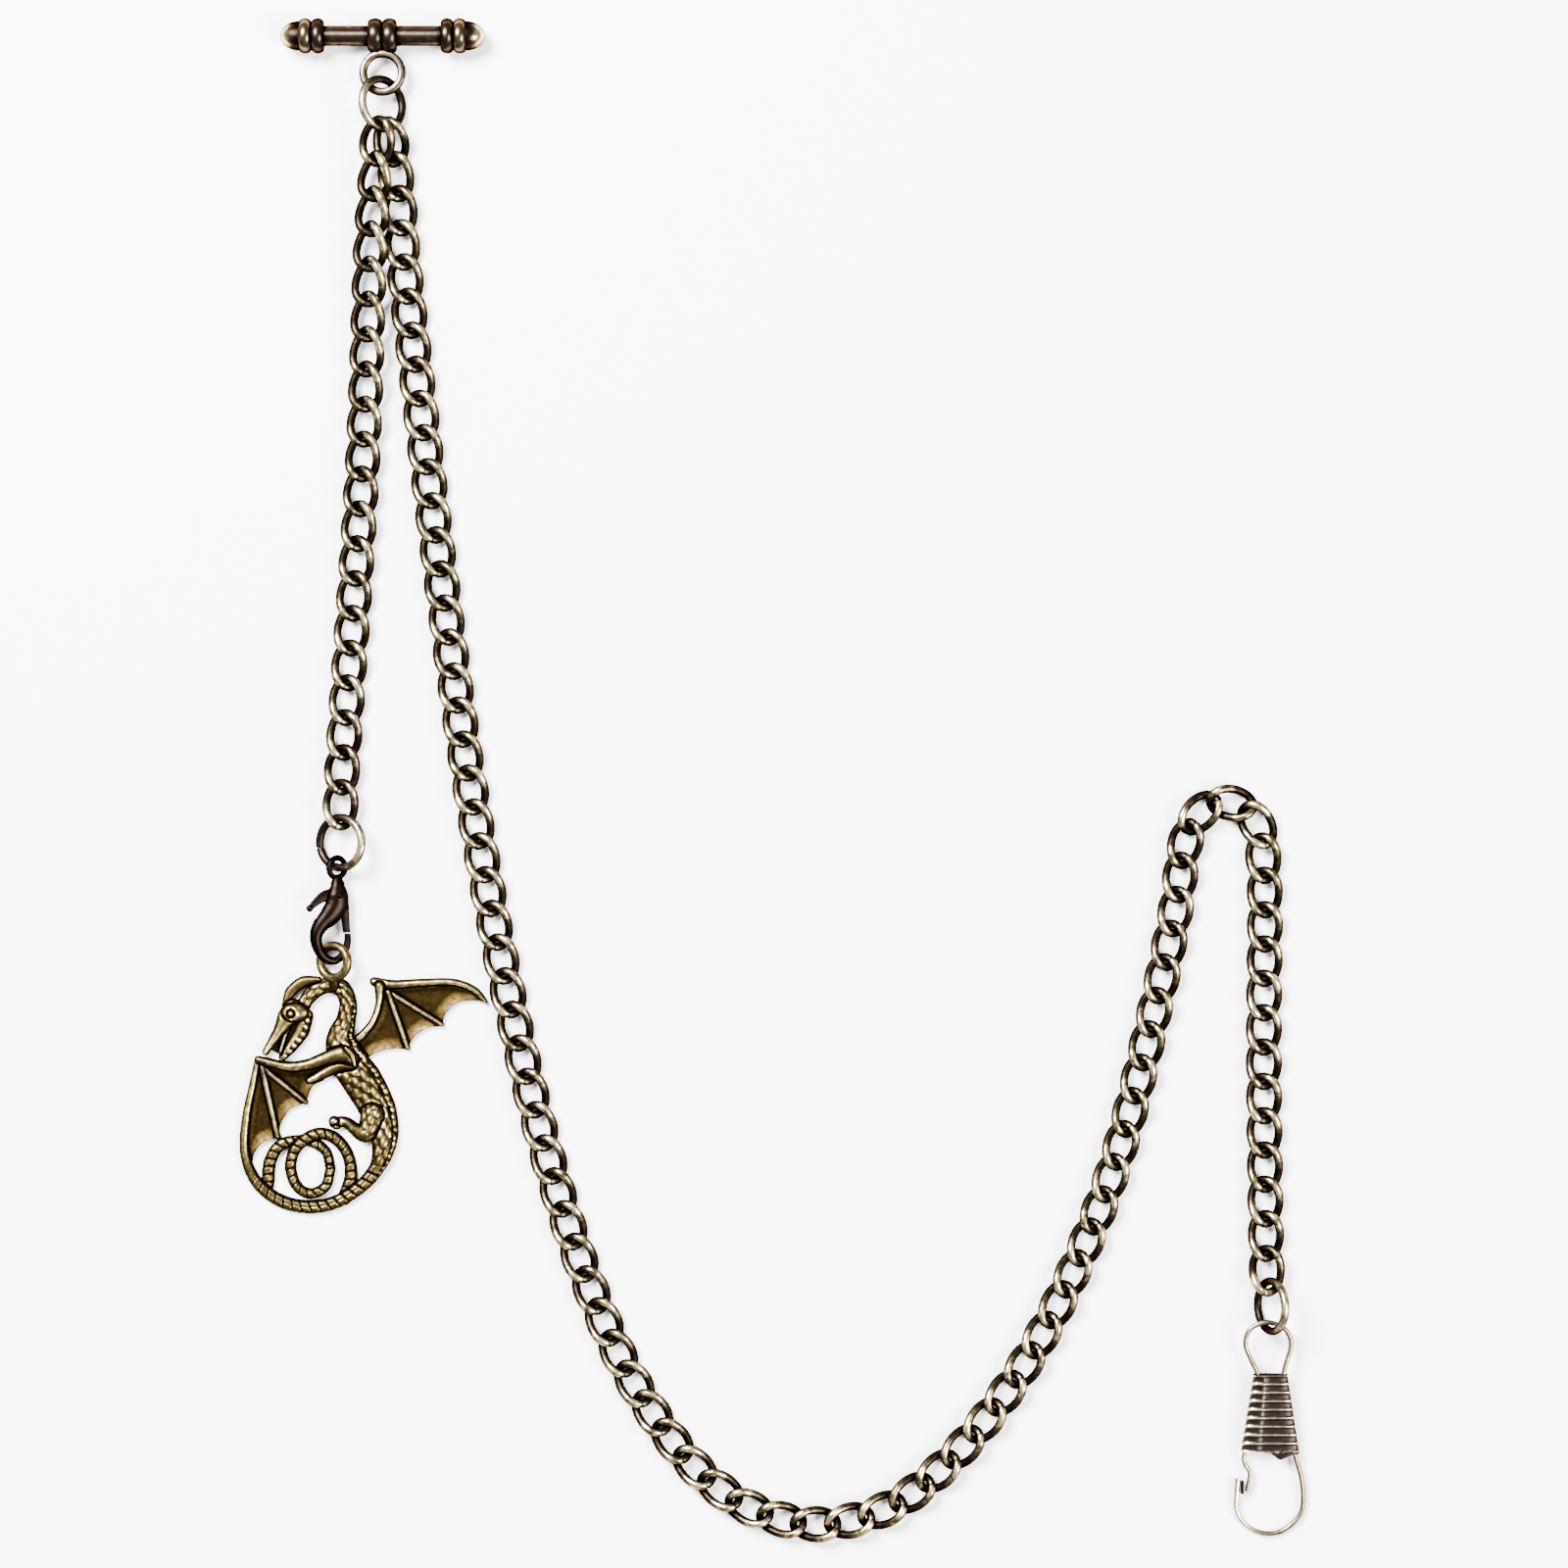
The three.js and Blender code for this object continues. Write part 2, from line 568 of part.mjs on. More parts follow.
const RIGHT_MEMBRANE = [
  [8.6, -4.2], [14.3, -4.0], [19.6, -3.6], [22.8, -5.0], [24.2, -6.6], [21.9, -6.2], [18.9, -7.6],
  [17.6, -10.2], [14.3, -10.6], [12.5, -12.3], [11.9, -14.2], [9.0, -14.3], [5.2, -15.9],
  [3.2, -13.2], [5.9, -11.0], [7.3, -8.4],
];

function charmGeometry() {
  const heightOf = (width) => Math.min(CHARM_TOP, 0.65 + 0.45 * width);
  const castings = DRAGON_WIRES.map(([points, widths]) =>
    taperedWire(points, widths, 2 * (points.length - 1), 5, heightOf),
  );
  castings.push(taperedWire(DRAGON_SPINE, DRAGON_SPINE_WIDTHS, 28, 6, heightOf));
  castings.push(taperedWire(DRAGON_TAIL, [1.0, 0.8], 26, 5, heightOf));
  castings.push(plateGeometry(LEFT_MEMBRANE, MEMBRANE_THICKNESS, -CHARM_MIDDLE));
  castings.push(plateGeometry(RIGHT_MEMBRANE, MEMBRANE_THICKNESS, -CHARM_MIDDLE));
  const relief = joined(castings);
  const under = boxGeometry(new THREE.Vector3(-30, -60, -10), new THREE.Vector3(40, 10, -CHARM_MIDDLE));
  const flatBacked = relief.subtract(toSolid(under));
  const bail = new THREE.TorusGeometry((BAIL_OUTER - BAIL_WIRE) / 2, BAIL_WIRE / 2, 6, 14);
  bail.rotateY(-0.5);
  bail.translate(0, 0, BAIL_CENTRE.z - CHARM_MIDDLE);
  return fromSolid(flatBacked.add(toSolid(bail)));
}

const charm = meshOf("dragon_charm", charmGeometry(), CHARM_BRASS);
charm.position.set(BAIL_CENTRE.x, BAIL_CENTRE.y, CHARM_MIDDLE);

// ---------- watch clip ----------
// Its own frame has the top of its wire loop at the origin and the hook towards -Y.

const SLEEVE_TOP = -8.4;
const SLEEVE_SIDES = 12;
// The sleeve's front sheet ends in a pointed tongue, drawn from the sleeve's lower edge.
const SLEEVE_TONGUE = [
  [-0.2, 0.1], [-0.2, -0.05], [1.6, -1.4], [3.1, -0.7], [4.4, -0.45], [4.4, 0.1],
];

const CLIP_WIRE_ROUTE = [
  [-2.9, -15], [-2.1, -8.6], [-3.2, -6.0], [-4.15, -3.4], [-3.5, -1.1], [-2.0, -0.1], [-0.5, 0.2],
  [1.9, -0.6], [3.1, -2.3], [3.25, -3.8], [2.1, -8.6], [3.0, -15], [4.0, -21.4], [5.1, -25.4],
  [5.45, -28.6], [5.25, -30.8], [4.08, -32.7], [1.93, -34.3], [-0.2, -34.7], [-2.57, -34.1],
  [-4.71, -32.3], [-5.5, -30.3], [-5.46, -28.6], [-5.25, -25.6],
];
const GATE_ROUTE = [
  [-3.9, -20.1], [-3.95, -20.8], [-4.35, -22.2], [-3.9, -23.5], [-3.3, -24.5], [-3.4, -25.8],
  [-3.75, -27.7],
];

function roundWire(points, wireWidth, steps) {
  return taperedWire(points, [wireWidth / 2, wireWidth / 2], steps, 5);
}

// One ring of the sleeve: a flattened oval, halfWidth by halfThick, at a height along the clip.
function sleeveRing(y, halfWidth, halfThick) {
  const ring = [];
  for (let side = 0; side < SLEEVE_SIDES; side++) {
    const angle = (FULL_TURN * side) / SLEEVE_SIDES;
    const across = Math.sign(Math.cos(angle)) * Math.sqrt(Math.abs(Math.cos(angle)));
    const up = Math.sign(Math.sin(angle)) * Math.sqrt(Math.abs(Math.sin(angle)));
    ring.push(new THREE.Vector3(halfWidth * across, y, halfThick * up));
  }
  return ring;
}

function sleeveGeometry() {
  const halfWidthAt = (share) =>
    THREE.MathUtils.lerp(SLEEVE_TOP_WIDTH, SLEEVE_BOTTOM_WIDTH, share) / 2;
  const rings = [];
  const levels = 2 * SLEEVE_RIBS;
  for (let level = 0; level <= levels; level++) {
    const share = level / levels;
    const depth = level % 2 ? RIB_DEPTH : 0;
    const y = SLEEVE_TOP - SLEEVE_LENGTH * share;
    rings.push(sleeveRing(y, halfWidthAt(share) - depth, SLEEVE_THICKNESS / 2 - depth));
  }
  const innerThick = SLEEVE_THICKNESS / 2 - SLEEVE_WALL;
  rings.push(sleeveRing(SLEEVE_TOP - SLEEVE_LENGTH, halfWidthAt(1) - SLEEVE_WALL, innerThick));
  rings.push(sleeveRing(SLEEVE_TOP, halfWidthAt(0) - SLEEVE_WALL, innerThick));
  const tongue = plateGeometry(SLEEVE_TONGUE, SLEEVE_WALL, innerThick);
  tongue.translate(0, SLEEVE_TOP - SLEEVE_LENGTH, 0);
  return fromSolid(joined([skinGeometry(rings, true), tongue]));
}

// The channel is folded onto the gate's end and clasps the tip of the hook.
function latchGeometry() {
  return boxGeometry(new THREE.Vector3(-4.75, -28.0, -0.62), new THREE.Vector3(-4.2, -26.0, 0.62));
}

const clip = new THREE.Group();
clip.position.copy(CLIP_LOOP_TOP);
clip.rotation.x = 0.085;
clip.add(meshOf("clip_wire", roundWire(CLIP_WIRE_ROUTE, CLIP_WIRE, 46), CLIP_BRASS));
clip.add(meshOf("clip_gate", roundWire(GATE_ROUTE, GATE_WIRE, 12), CLIP_BRASS));
clip.add(meshOf("clip_sleeve", sleeveGeometry(), SLEEVE_BRASS));
clip.add(meshOf("clip_latch_channel", latchGeometry(), SLEEVE_BRASS));

// ---------- the whole chain ----------

const watchChain = new THREE.Group();
watchChain.add(tBar, clasp, charm, clip, ...jumpRings, ...shortChain, ...longChain);

export default watchChain;
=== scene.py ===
"""Looks of a double pocket watch chain in aged brass, laid flat and seen from straight above.

Lengths in this script are millimetres in the row's frame, until add_piece turns them into metres.
"""

import math

import bpy
import numpy as np
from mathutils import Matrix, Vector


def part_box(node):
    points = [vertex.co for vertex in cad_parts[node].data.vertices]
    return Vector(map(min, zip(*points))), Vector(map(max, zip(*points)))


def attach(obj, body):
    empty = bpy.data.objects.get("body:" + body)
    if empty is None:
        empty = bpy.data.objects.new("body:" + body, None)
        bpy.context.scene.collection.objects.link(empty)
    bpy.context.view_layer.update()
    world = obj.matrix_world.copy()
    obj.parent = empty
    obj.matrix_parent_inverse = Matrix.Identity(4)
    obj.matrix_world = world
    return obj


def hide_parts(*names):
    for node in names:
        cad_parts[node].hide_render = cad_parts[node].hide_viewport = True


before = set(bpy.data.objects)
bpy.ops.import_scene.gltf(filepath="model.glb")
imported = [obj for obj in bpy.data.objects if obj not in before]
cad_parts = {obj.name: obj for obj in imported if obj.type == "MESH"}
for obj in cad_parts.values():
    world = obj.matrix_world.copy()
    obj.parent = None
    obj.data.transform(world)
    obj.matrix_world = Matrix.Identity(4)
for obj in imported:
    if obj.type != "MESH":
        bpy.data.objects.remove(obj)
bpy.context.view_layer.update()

MM = 0.001
FULL_TURN = 2 * math.pi
UP = np.array([0.0, 0.0, 1.0])


# ---------- places taken from the frame ----------


def cad_centre(node):
    low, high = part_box(node)
    return np.array([(a + b) / 2 / MM for a, b in zip(low, high)])


def turned(roll, tilt, heading):
    """Turn about X, then Y, then Z, as a 3 by 3 matrix."""
    cr, sr = math.cos(roll), math.sin(roll)
    ct, st = math.cos(tilt), math.sin(tilt)
    ch, sh = math.cos(heading), math.sin(heading)
    about_x = np.array([[1, 0, 0], [0, cr, -sr], [0, sr, cr]])
    about_y = np.array([[ct, 0, st], [0, 1, 0], [-st, 0, ct]])
    about_z = np.array([[ch, -sh, 0], [sh, ch, 0], [0, 0, 1]])
    return about_z @ about_y @ about_x


# ---------- materials ----------


def colour_stops(ramp, stops):
    while len(ramp.elements) < len(stops):
        ramp.elements.new(0.5)
    for element, (place, colour) in zip(ramp.elements, stops):
        element.position = place
        element.color = (*colour, 1)


def aged_metal(name, stops, rough_low, rough_high, mottle=0.22, grain=900, bump=0.12):
    """Metal whose colour follows a value per point, from 0 for a dark recess to 1 for a worn bright ridge. On
    most pieces the value also holds painted light: lighter where the surface faces up, as if lit from above,
    and darker in painted shade.
    """
    material = bpy.data.materials.new(name)
    material.use_nodes = True
    tree = material.node_tree
    nodes, links = tree.nodes, tree.links
    shader = nodes["Principled BSDF"]
    shader.inputs["Metallic"].default_value = 1.0
    shader.inputs["Specular Tint"].default_value = (0.3, 0.25, 0.21, 1)
    place = nodes.new("ShaderNodeTexCoord")
    # the per-point attribute holds the worn tone together with painted light and shade
    wear_and_shade = nodes.new("ShaderNodeAttribute")
    wear_and_shade.attribute_name = "wear_and_shade"

    patches = nodes.new("ShaderNodeTexNoise")
    patches.inputs["Scale"].default_value = grain
    patches.inputs["Detail"].default_value = 5
    patches.inputs["Roughness"].default_value = 0.6
    links.new(place.outputs["Object"], patches.inputs["Vector"])

    spread = nodes.new("ShaderNodeMapRange")
    spread.inputs["From Min"].default_value = 0.3
    spread.inputs["From Max"].default_value = 0.7
    spread.inputs["To Min"].default_value = -mottle
    spread.inputs["To Max"].default_value = mottle
    links.new(patches.outputs["Fac"], spread.inputs["Value"])

    total = nodes.new("ShaderNodeMath")
    total.operation = "ADD"
    total.use_clamp = True
    links.new(wear_and_shade.outputs["Fac"], total.inputs[0])
    links.new(spread.outputs["Result"], total.inputs[1])

    ramp = nodes.new("ShaderNodeValToRGB")
    colour_stops(ramp.color_ramp, stops)
    links.new(total.outputs["Value"], ramp.inputs["Fac"])
    links.new(ramp.outputs["Color"], shader.inputs["Base Color"])

    polish = nodes.new("ShaderNodeMapRange")
    polish.inputs["To Min"].default_value = rough_high
    polish.inputs["To Max"].default_value = rough_low
    links.new(total.outputs["Value"], polish.inputs["Value"])
    links.new(polish.outputs["Result"], shader.inputs["Roughness"])

    fine = nodes.new("ShaderNodeTexNoise")
    fine.inputs["Scale"].default_value = 3.2 * grain
    fine.inputs["Detail"].default_value = 4
    links.new(place.outputs["Object"], fine.inputs["Vector"])
    relief = nodes.new("ShaderNodeBump")
    relief.inputs["Strength"].default_value = bump
    relief.inputs["Distance"].default_value = 0.00006
    links.new(fine.outputs["Fac"], relief.inputs["Height"])
    links.new(relief.outputs["Normal"], shader.inputs["Normal"])
    return material


CHAIN_BRASS = aged_metal(
    "chain_brass",
    [
        (0.0, (0.0020, 0.0012, 0.0008)),
        (0.28, (0.0055, 0.0036, 0.0022)),
        (0.5, (0.0125, 0.0085, 0.0052)),
        (0.7, (0.0400, 0.0285, 0.0165)),
        (0.86, (0.1500, 0.1090, 0.0580)),
        (1.0, (0.7000, 0.5600, 0.3000)),
    ],
    0.26,
    0.46,
)
BAR_BRASS = aged_metal(
    "t_bar_brass",
    [
        (0.0, (0.0022, 0.0014, 0.0010)),
        (0.3, (0.0140, 0.0082, 0.0060)),
        (0.55, (0.0470, 0.0320, 0.0230)),
        (0.76, (0.1450, 0.1060, 0.0600)),
        (1.0, (0.6400, 0.5000, 0.2600)),
    ],
    0.18,
    0.34,
    mottle=0.14,
)
RING_BRASS = aged_metal(
    "ring_brass",
    [
        (0.0, (0.0020, 0.0013, 0.0010)),
        (0.35, (0.0070, 0.0047, 0.0035)),
        (0.6, (0.0230, 0.0168, 0.0112)),
        (0.8, (0.0880, 0.0670, 0.0410)),
        (1.0, (0.6200, 0.5000, 0.3100)),
    ],
    0.26,
    0.4,
    mottle=0.14,
)
CLASP_BRASS = aged_metal(
    "clasp_brass",
    [
        (0.0, (0.0015, 0.0010, 0.0010)),
        (0.4, (0.0042, 0.0027, 0.0021)),
        (0.7, (0.0098, 0.0062, 0.0044)),
        (1.0, (0.0600, 0.0410, 0.0270)),
    ],
    0.24,
    0.42,
    mottle=0.12,
)
CHARM_BRASS = aged_metal(
    "charm_brass",
    [
        (0.0, (0.0030, 0.0015, 0.0004)),
        (0.25, (0.0095, 0.0054, 0.0014)),
        (0.5, (0.0215, 0.0137, 0.0040)),
        (0.72, (0.0620, 0.0440, 0.0145)),
        (0.88, (0.1750, 0.1300, 0.0490)),
        (1.0, (0.6800, 0.5500, 0.2600)),
    ],
    0.27,
    0.5,
    mottle=0.16,
    grain=1300,
    bump=0.3,
)
CLIP_BRASS = aged_metal(
    "clip_wire_brass",
    [
        (0.0, (0.0060, 0.0040, 0.0030)),
        (0.35, (0.0280, 0.0210, 0.0145)),
        (0.7, (0.2600, 0.2050, 0.1300)),
        (1.0, (0.9000, 0.8000, 0.5000)),
    ],
    0.2,
    0.36,
    mottle=0.16,
)
SLEEVE_BRASS = aged_metal(
    "clip_sleeve_brass",
    [
        (0.0, (0.0040, 0.0026, 0.0025)),
        (0.4, (0.0150, 0.0105, 0.0090)),
        (0.68, (0.0480, 0.0370, 0.0290)),
        (0.86, (0.3300, 0.2750, 0.1700)),
        (1.0, (0.8000, 0.7100, 0.4400)),
    ],
    0.24,
    0.42,
    mottle=0.1,
    grain=1500,
)
SPRING_STEEL = aged_metal(
    "spring_steel",
    [(0.0, (0.12, 0.12, 0.12)), (1.0, (0.55, 0.56, 0.57))],
    0.25,
    0.4,
    mottle=0.1,
)


# ---------- shape tools ----------


def smoothstep(low, high, value):
    share = np.clip((value - low) / (high - low), 0, 1)
    return share * share * (3 - 2 * share)


def through(points, steps):
    """Centripetal Catmull-Rom curve through the points, with this many steps between each two."""
    points = np.array(points, float)
    ends = (2 * points[0] - points[1], 2 * points[-1] - points[-2])
    padded = np.vstack([ends[0], points, ends[1]])
    curve = []
    for before, start, end, after in zip(padded, padded[1:], padded[2:], padded[3:]):
        knots = [np.linalg.norm(b - a) ** 0.5 for a, b in ((before, start), (start, end), (end, after))]
        out = (start - before) / knots[0] - (end - before) / (knots[0] + knots[1])
        out = (out + (end - start) / knots[1]) * knots[1]
        into = (end - start) / knots[1] - (after - start) / (knots[1] + knots[2])
        into = (into + (after - end) / knots[2]) * knots[1]
        t = np.linspace(0, 1, steps, endpoint=False)[:, None]
        cubic = 2 * start - 2 * end + out + into
        square = 3 * end - 3 * start - 2 * out - into
        curve.append(start + out * t + square * t**2 + cubic * t**3)
    return np.vstack(curve + [points[-1:]])


def spread_along(values, count):
    """The values, given at equal shares of a length, at this many equal shares of it."""
    values = np.array(values, float)
    return np.interp(np.linspace(0, 1, count), np.linspace(0, 1, len(values)), values)


def tube(centres, half_width, half_height, sides, closed=False, square=1.0):
    """Points, faces and outward directions of a tube. square below 1 flattens its sides."""
    centres = np.array(centres, float)
    count = len(centres)
    if closed:
        along = np.roll(centres, -1, 0) - np.roll(centres, 1, 0)
    else:
        along = np.gradient(centres, axis=0)
    along /= np.linalg.norm(along, axis=1)[:, None]
    across = np.cross(UP, along)
    across /= np.linalg.norm(across, axis=1)[:, None]
    above = np.cross(along, across)
    angle = np.arange(sides) * FULL_TURN / sides
    cosine = np.sign(np.cos(angle)) * np.abs(np.cos(angle)) ** square
    sine = np.sign(np.sin(angle)) * np.abs(np.sin(angle)) ** square
    wide = np.broadcast_to(np.array(half_width, float), (count,))[:, None, None]
    high = np.broadcast_to(np.array(half_height, float), (count,))[:, None, None]
    outward = (
        across[:, None] * cosine[None, :, None] / wide
        + above[:, None] * sine[None, :, None] / high
    )
    outward /= np.linalg.norm(outward, axis=2)[:, :, None]
    rings = (
        centres[:, None]
        + across[:, None] * (cosine[None, :, None] * wide)
        + above[:, None] * (sine[None, :, None] * high)
    )
    points = rings.reshape(-1, 3)
    faces = []
    for ring in range(count if closed else count - 1):
        here, there = ring * sides, ((ring + 1) % count) * sides
        for side in range(sides):
            turn = (side + 1) % sides
            faces.append((here + side, here + turn, there + turn, there + side))
    if not closed:
        faces.append(tuple(range(sides - 1, -1, -1)))
        faces.append(tuple((count - 1) * sides + side for side in range(sides)))
    return points, faces, outward.reshape(-1, 3)


def joined(parts):
    """Several (points, faces, worn tone with painted light and shade) as one."""
    points, faces, wear_and_shade, start = [], [], [], 0
    for part_points, part_faces, part_wear in parts:
        points.append(part_points)
        faces += [tuple(start + corner for corner in face) for face in part_faces]
        wear_and_shade.append(part_wear)
        start += len(part_points)
    return np.vstack(points), faces, np.concatenate(wear_and_shade)


def lathe(profile, sides):
    """Points and faces of a (radius, height) profile turned about X, with the height along X."""
    profile = np.array(profile, float)
    angle = np.arange(sides) * FULL_TURN / sides
    points = np.stack(
        [
            np.repeat(profile[:, 1], sides),
            np.outer(profile[:, 0], np.cos(angle)).ravel(),
            np.outer(profile[:, 0], np.sin(angle)).ravel(),
        ],
        1,
    )
    faces = []
    for ring in range(len(profile) - 1):
        here, there = ring * sides, (ring + 1) * sides
        for side in range(sides):
            turn = (side + 1) % sides
            faces.append((here + side, here + turn, there + turn, there + side))
    faces.append(tuple(range(sides - 1, -1, -1)))
    faces.append(tuple((len(profile) - 1) * sides + side for side in range(sides)))
    return points, faces


def make_mesh(name, points, faces, wear_and_shade):
    mesh = bpy.data.meshes.new(name)
    mesh.from_pydata((np.array(points) * MM).tolist(), [], faces)
    mesh.attributes.new("wear_and_shade", "FLOAT", "POINT")
    mesh.attributes["wear_and_shade"].data.foreach_set("value", np.clip(wear_and_shade, 0, 1).astype(np.float32))
    mesh.shade_smooth()
    mesh.set_sharp_from_angle(angle=math.radians(50))
    mesh.update()
    return mesh


def add_piece(name, part, body, slot, material, *nodes):
    """One visible piece, which rides on a body and stands for the named CAD nodes."""
    piece = bpy.data.objects.new(name, make_mesh(name, *part))
    bpy.context.scene.collection.objects.link(piece)
    piece.data.materials.append(material)
    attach(piece, body)
    if nodes:
        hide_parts(*nodes)
    return piece


def lit_and_rubbed(outward, heights, top):
    """A wire lying flat, as values from dark to bright: the sides facing up are painted lighter, as if lit
    from above, and the undersides darker, as shade. Its high stretches are lighter again, partly real rubbing
    and partly painted highlight, and its low ones painted darker.
    """
    # painted light: the side of the wire facing up is made lighter
    lit_from_above = smoothstep(-0.35, 0.95, outward[:, 2])
    high = smoothstep(0.25, 1.0, heights / top)
    return 0.06 + 0.36 * lit_from_above + 0.55 * lit_from_above * high * high


# ---------- curb chain ----------

LINK_WIRE = 1.4
LINK_HALF_LENGTH = 3.6
LINK_HALF_WIDTH = 2.3
LINK_PITCH = 5.6
CROSSING_GAP = 0.28
LINK_CROSSING = math.acos(LINK_PITCH / (2 * LINK_HALF_LENGTH))
LINK_TWIST = (LINK_WIRE + CROSSING_GAP) / (2 * math.sin(2 * LINK_CROSSING))
CHAIN_MIDDLE = LINK_TWIST + LINK_WIRE / 2
SEAM_ANGLE = math.radians(-17)
SEAM_HALF_GAP = 0.012
LINK_STEPS = 52
LINK_SIDES = 14

LONG_ROUTE = [
    (-62.0, 104.0), (-61.3, 98.7), (-60.7, 93.0), (-60.3, 87.4), (-57.8, 65.0), (-53.7, 31.4),
    (-49.0, -2.1), (-42.8, -35.5), (-36.1, -62.8), (-29.0, -84.1), (-21.9, -99.1), (-12.1, -112.3),
    (-3.2, -118.7), (7.5, -121.2), (18.4, -118.8), (27.6, -112.2), (38.5, -99.3), (47.0, -84.7),
    (55.5, -63.9), (62.5, -37.1), (65.9, -20.7), (67.6, -9.6), (70.1, -5.0), (75.1, -3.7),
    (79.1, -7.1), (80.1, -12.4), (80.2, -46.2), (80.6, -79.8),
]
SHORT_ROUTE = [
    (-64.1, 103.9), (-64.5, 98.5), (-64.9, 93.0), (-65.3, 86.9), (-66.6, 53.0), (-70.0, 1.8),
    (-70.2, -3.9),
]
RUN_LINKS = 5
STACK_LIFT = 3.05
STACK_LINKS = 14.7
STACK_ROLL = 0.47


def long_link_pose(index, count):
    """Rise, dip and roll of a link of the long chain."""
    if index == 0:
        return 0.84, 0.28, 0.09
    if index == count - 1:
        return 0.78, -0.18, 0
    if index == count - 2:
        return 0.11, -0.04, 0
    return 0, 0, 0


def short_link_pose(index, count):
    """The short chain starts on top of the long one and comes down to the surface."""
    high = max(0, 1 - index / STACK_LINKS)
    rise = STACK_LIFT * high * high
    dip = math.atan(2 * STACK_LIFT * high / (STACK_LINKS * LINK_PITCH))
    roll = STACK_ROLL * high
    if index == 0:
        return rise - 0.26, dip - 0.11, roll - 0.35
    if index == count - 1:
        return 0.93, -0.09, -0.05
    if index == count - 2:
        return 0.33, -0.12, -0.04
    return rise, dip, roll


def link_places(route, pose_of):
    """Centre and turn of each link, evenly spaced along the route."""
    curve = through(route, 150)
    steps = np.linalg.norm(np.diff(curve, axis=0), axis=1)
    length = np.concatenate([[0], np.cumsum(steps)])
    count = round(length[-1] / LINK_PITCH) + 1
    reach = 0.05
    places = []
    for index, at in enumerate(np.linspace(0, length[-1], count)):
        x, y = (np.interp(at, length, curve[:, axis]) for axis in (0, 1))
        ahead, behind = min(at + reach, length[-1]), max(at - reach, 0)
        run, rise = (
            np.interp(ahead, length, curve[:, axis]) - np.interp(behind, length, curve[:, axis])
            for axis in (0, 1)
        )
        lift, dip, roll = pose_of(index, count)
        turn = turned(roll, dip, math.atan2(rise, run))
        places.append((np.array([x, y, CHAIN_MIDDLE + lift]), turn))
    return places


def link_part(centre, turn, seed):
    """One link: a twisted oval of round wire, whose cut ends butt at a seam."""
    angle = np.linspace(SEAM_ANGLE + SEAM_HALF_GAP, SEAM_ANGLE + FULL_TURN - SEAM_HALF_GAP, LINK_STEPS)
    line = np.stack(
        [
            LINK_HALF_LENGTH * np.cos(angle),
            LINK_HALF_WIDTH * np.sin(angle),
            -LINK_TWIST * np.sin(2 * angle),
        ],
        1,
    )
    thick = np.full(LINK_STEPS, LINK_WIRE / 2)
    thick[[0, -1]] *= 0.9
    line = line @ turn.T + centre
    points, faces, outward = tube(line, thick, thick, LINK_SIDES)
    wear_and_shade = lit_and_rubbed(outward, points[:, 2] - (centre[2] - CHAIN_MIDDLE), 2 * CHAIN_MIDDLE)
    around = np.repeat(angle, LINK_SIDES)
    # painted shade: the low strands are darkened where the neighbouring links cross over them
    for shaded_strand in (LINK_CROSSING, LINK_CROSSING + math.pi):
        apart = np.angle(np.exp(1j * (around - shaded_strand)))
        wear_and_shade *= 1 - 0.75 * np.exp(-((apart / 0.42) ** 2))
    # painted shade: the sides of the wire facing into the link are darkened
    inward = (centre - points) / np.linalg.norm(centre - points, axis=1)[:, None]
    shaded_inner_side = np.einsum("ij,ij->i", inward, outward)
    wear_and_shade *= 1 - 0.6 * smoothstep(0.2, 0.9, shaded_inner_side)
    wear_and_shade *= 0.92 + 0.16 * ((seed * 0.618) % 1)
    return points, faces, wear_and_shade


def add_chain(name, route, pose_of, run_count, links_less, body, node):
    """The links of each CAD run as one piece, which rides on the run's body."""
    places = link_places(route, pose_of)
    full = len(places) + (RUN_LINKS if links_less else 0)
    starts = [max(0, run * full // run_count - links_less) for run in range(run_count)]
    ends = starts[1:] + [len(places)]
    for run, (first, end) in enumerate(zip(starts, ends), 1):
        part = joined([link_part(*places[index], index) for index in range(first, end)])
        number = f"{run:02d}"
        add_piece(f"{name}_{number}", part, body + number, "chain_brass", CHAIN_BRASS, node + number)


add_chain("long_chain_links", LONG_ROUTE, long_link_pose, 18, 2, "long_run_", "long_chain_run_")
add_chain("short_chain_links", SHORT_ROUTE, short_link_pose, 4, 0, "short_run_", "short_chain_run_")


# ---------- jump rings ----------

RING_WIRE = 1.36
RING_OUTER = 9.5


def ring_line(radius, start, gap, steps):
    angle = np.linspace(start + gap, start + FULL_TURN - gap, steps)
    return np.stack([radius * np.cos(angle), radius * np.sin(angle), np.zeros(steps)], 1)


def add_jump_ring(name, node, body, tilt, heading, seam):
    """A ring of round wire with a butt joint. Its seam is an angle round the ring from its own +X."""
    turn = turned(0, tilt, heading)
    radius = (RING_OUTER - RING_WIRE) / 2
    line = ring_line(radius, seam, 0.012, 96) @ turn.T + cad_centre(node)
    thick = np.full(len(line), RING_WIRE / 2)
    thick[[0, -1]] *= 0.88
    points, faces, outward = tube(line, thick, thick, 18)
    height = radius * abs(math.sin(tilt)) + RING_WIRE / 2
    rise = (points[:, 2] - cad_centre(node)[2]) / height
    # painted light: the wire is lighter where it faces up and on the half of the tilted ring that stands
    # high, darker below
    lit_from_above = smoothstep(-0.3, 0.95, outward[:, 2])
    wear_and_shade = 0.12 + 0.5 * lit_from_above + 0.34 * lit_from_above * rise
    add_piece(name, (points, faces, wear_and_shade), body, "ring_brass", RING_BRASS, node)


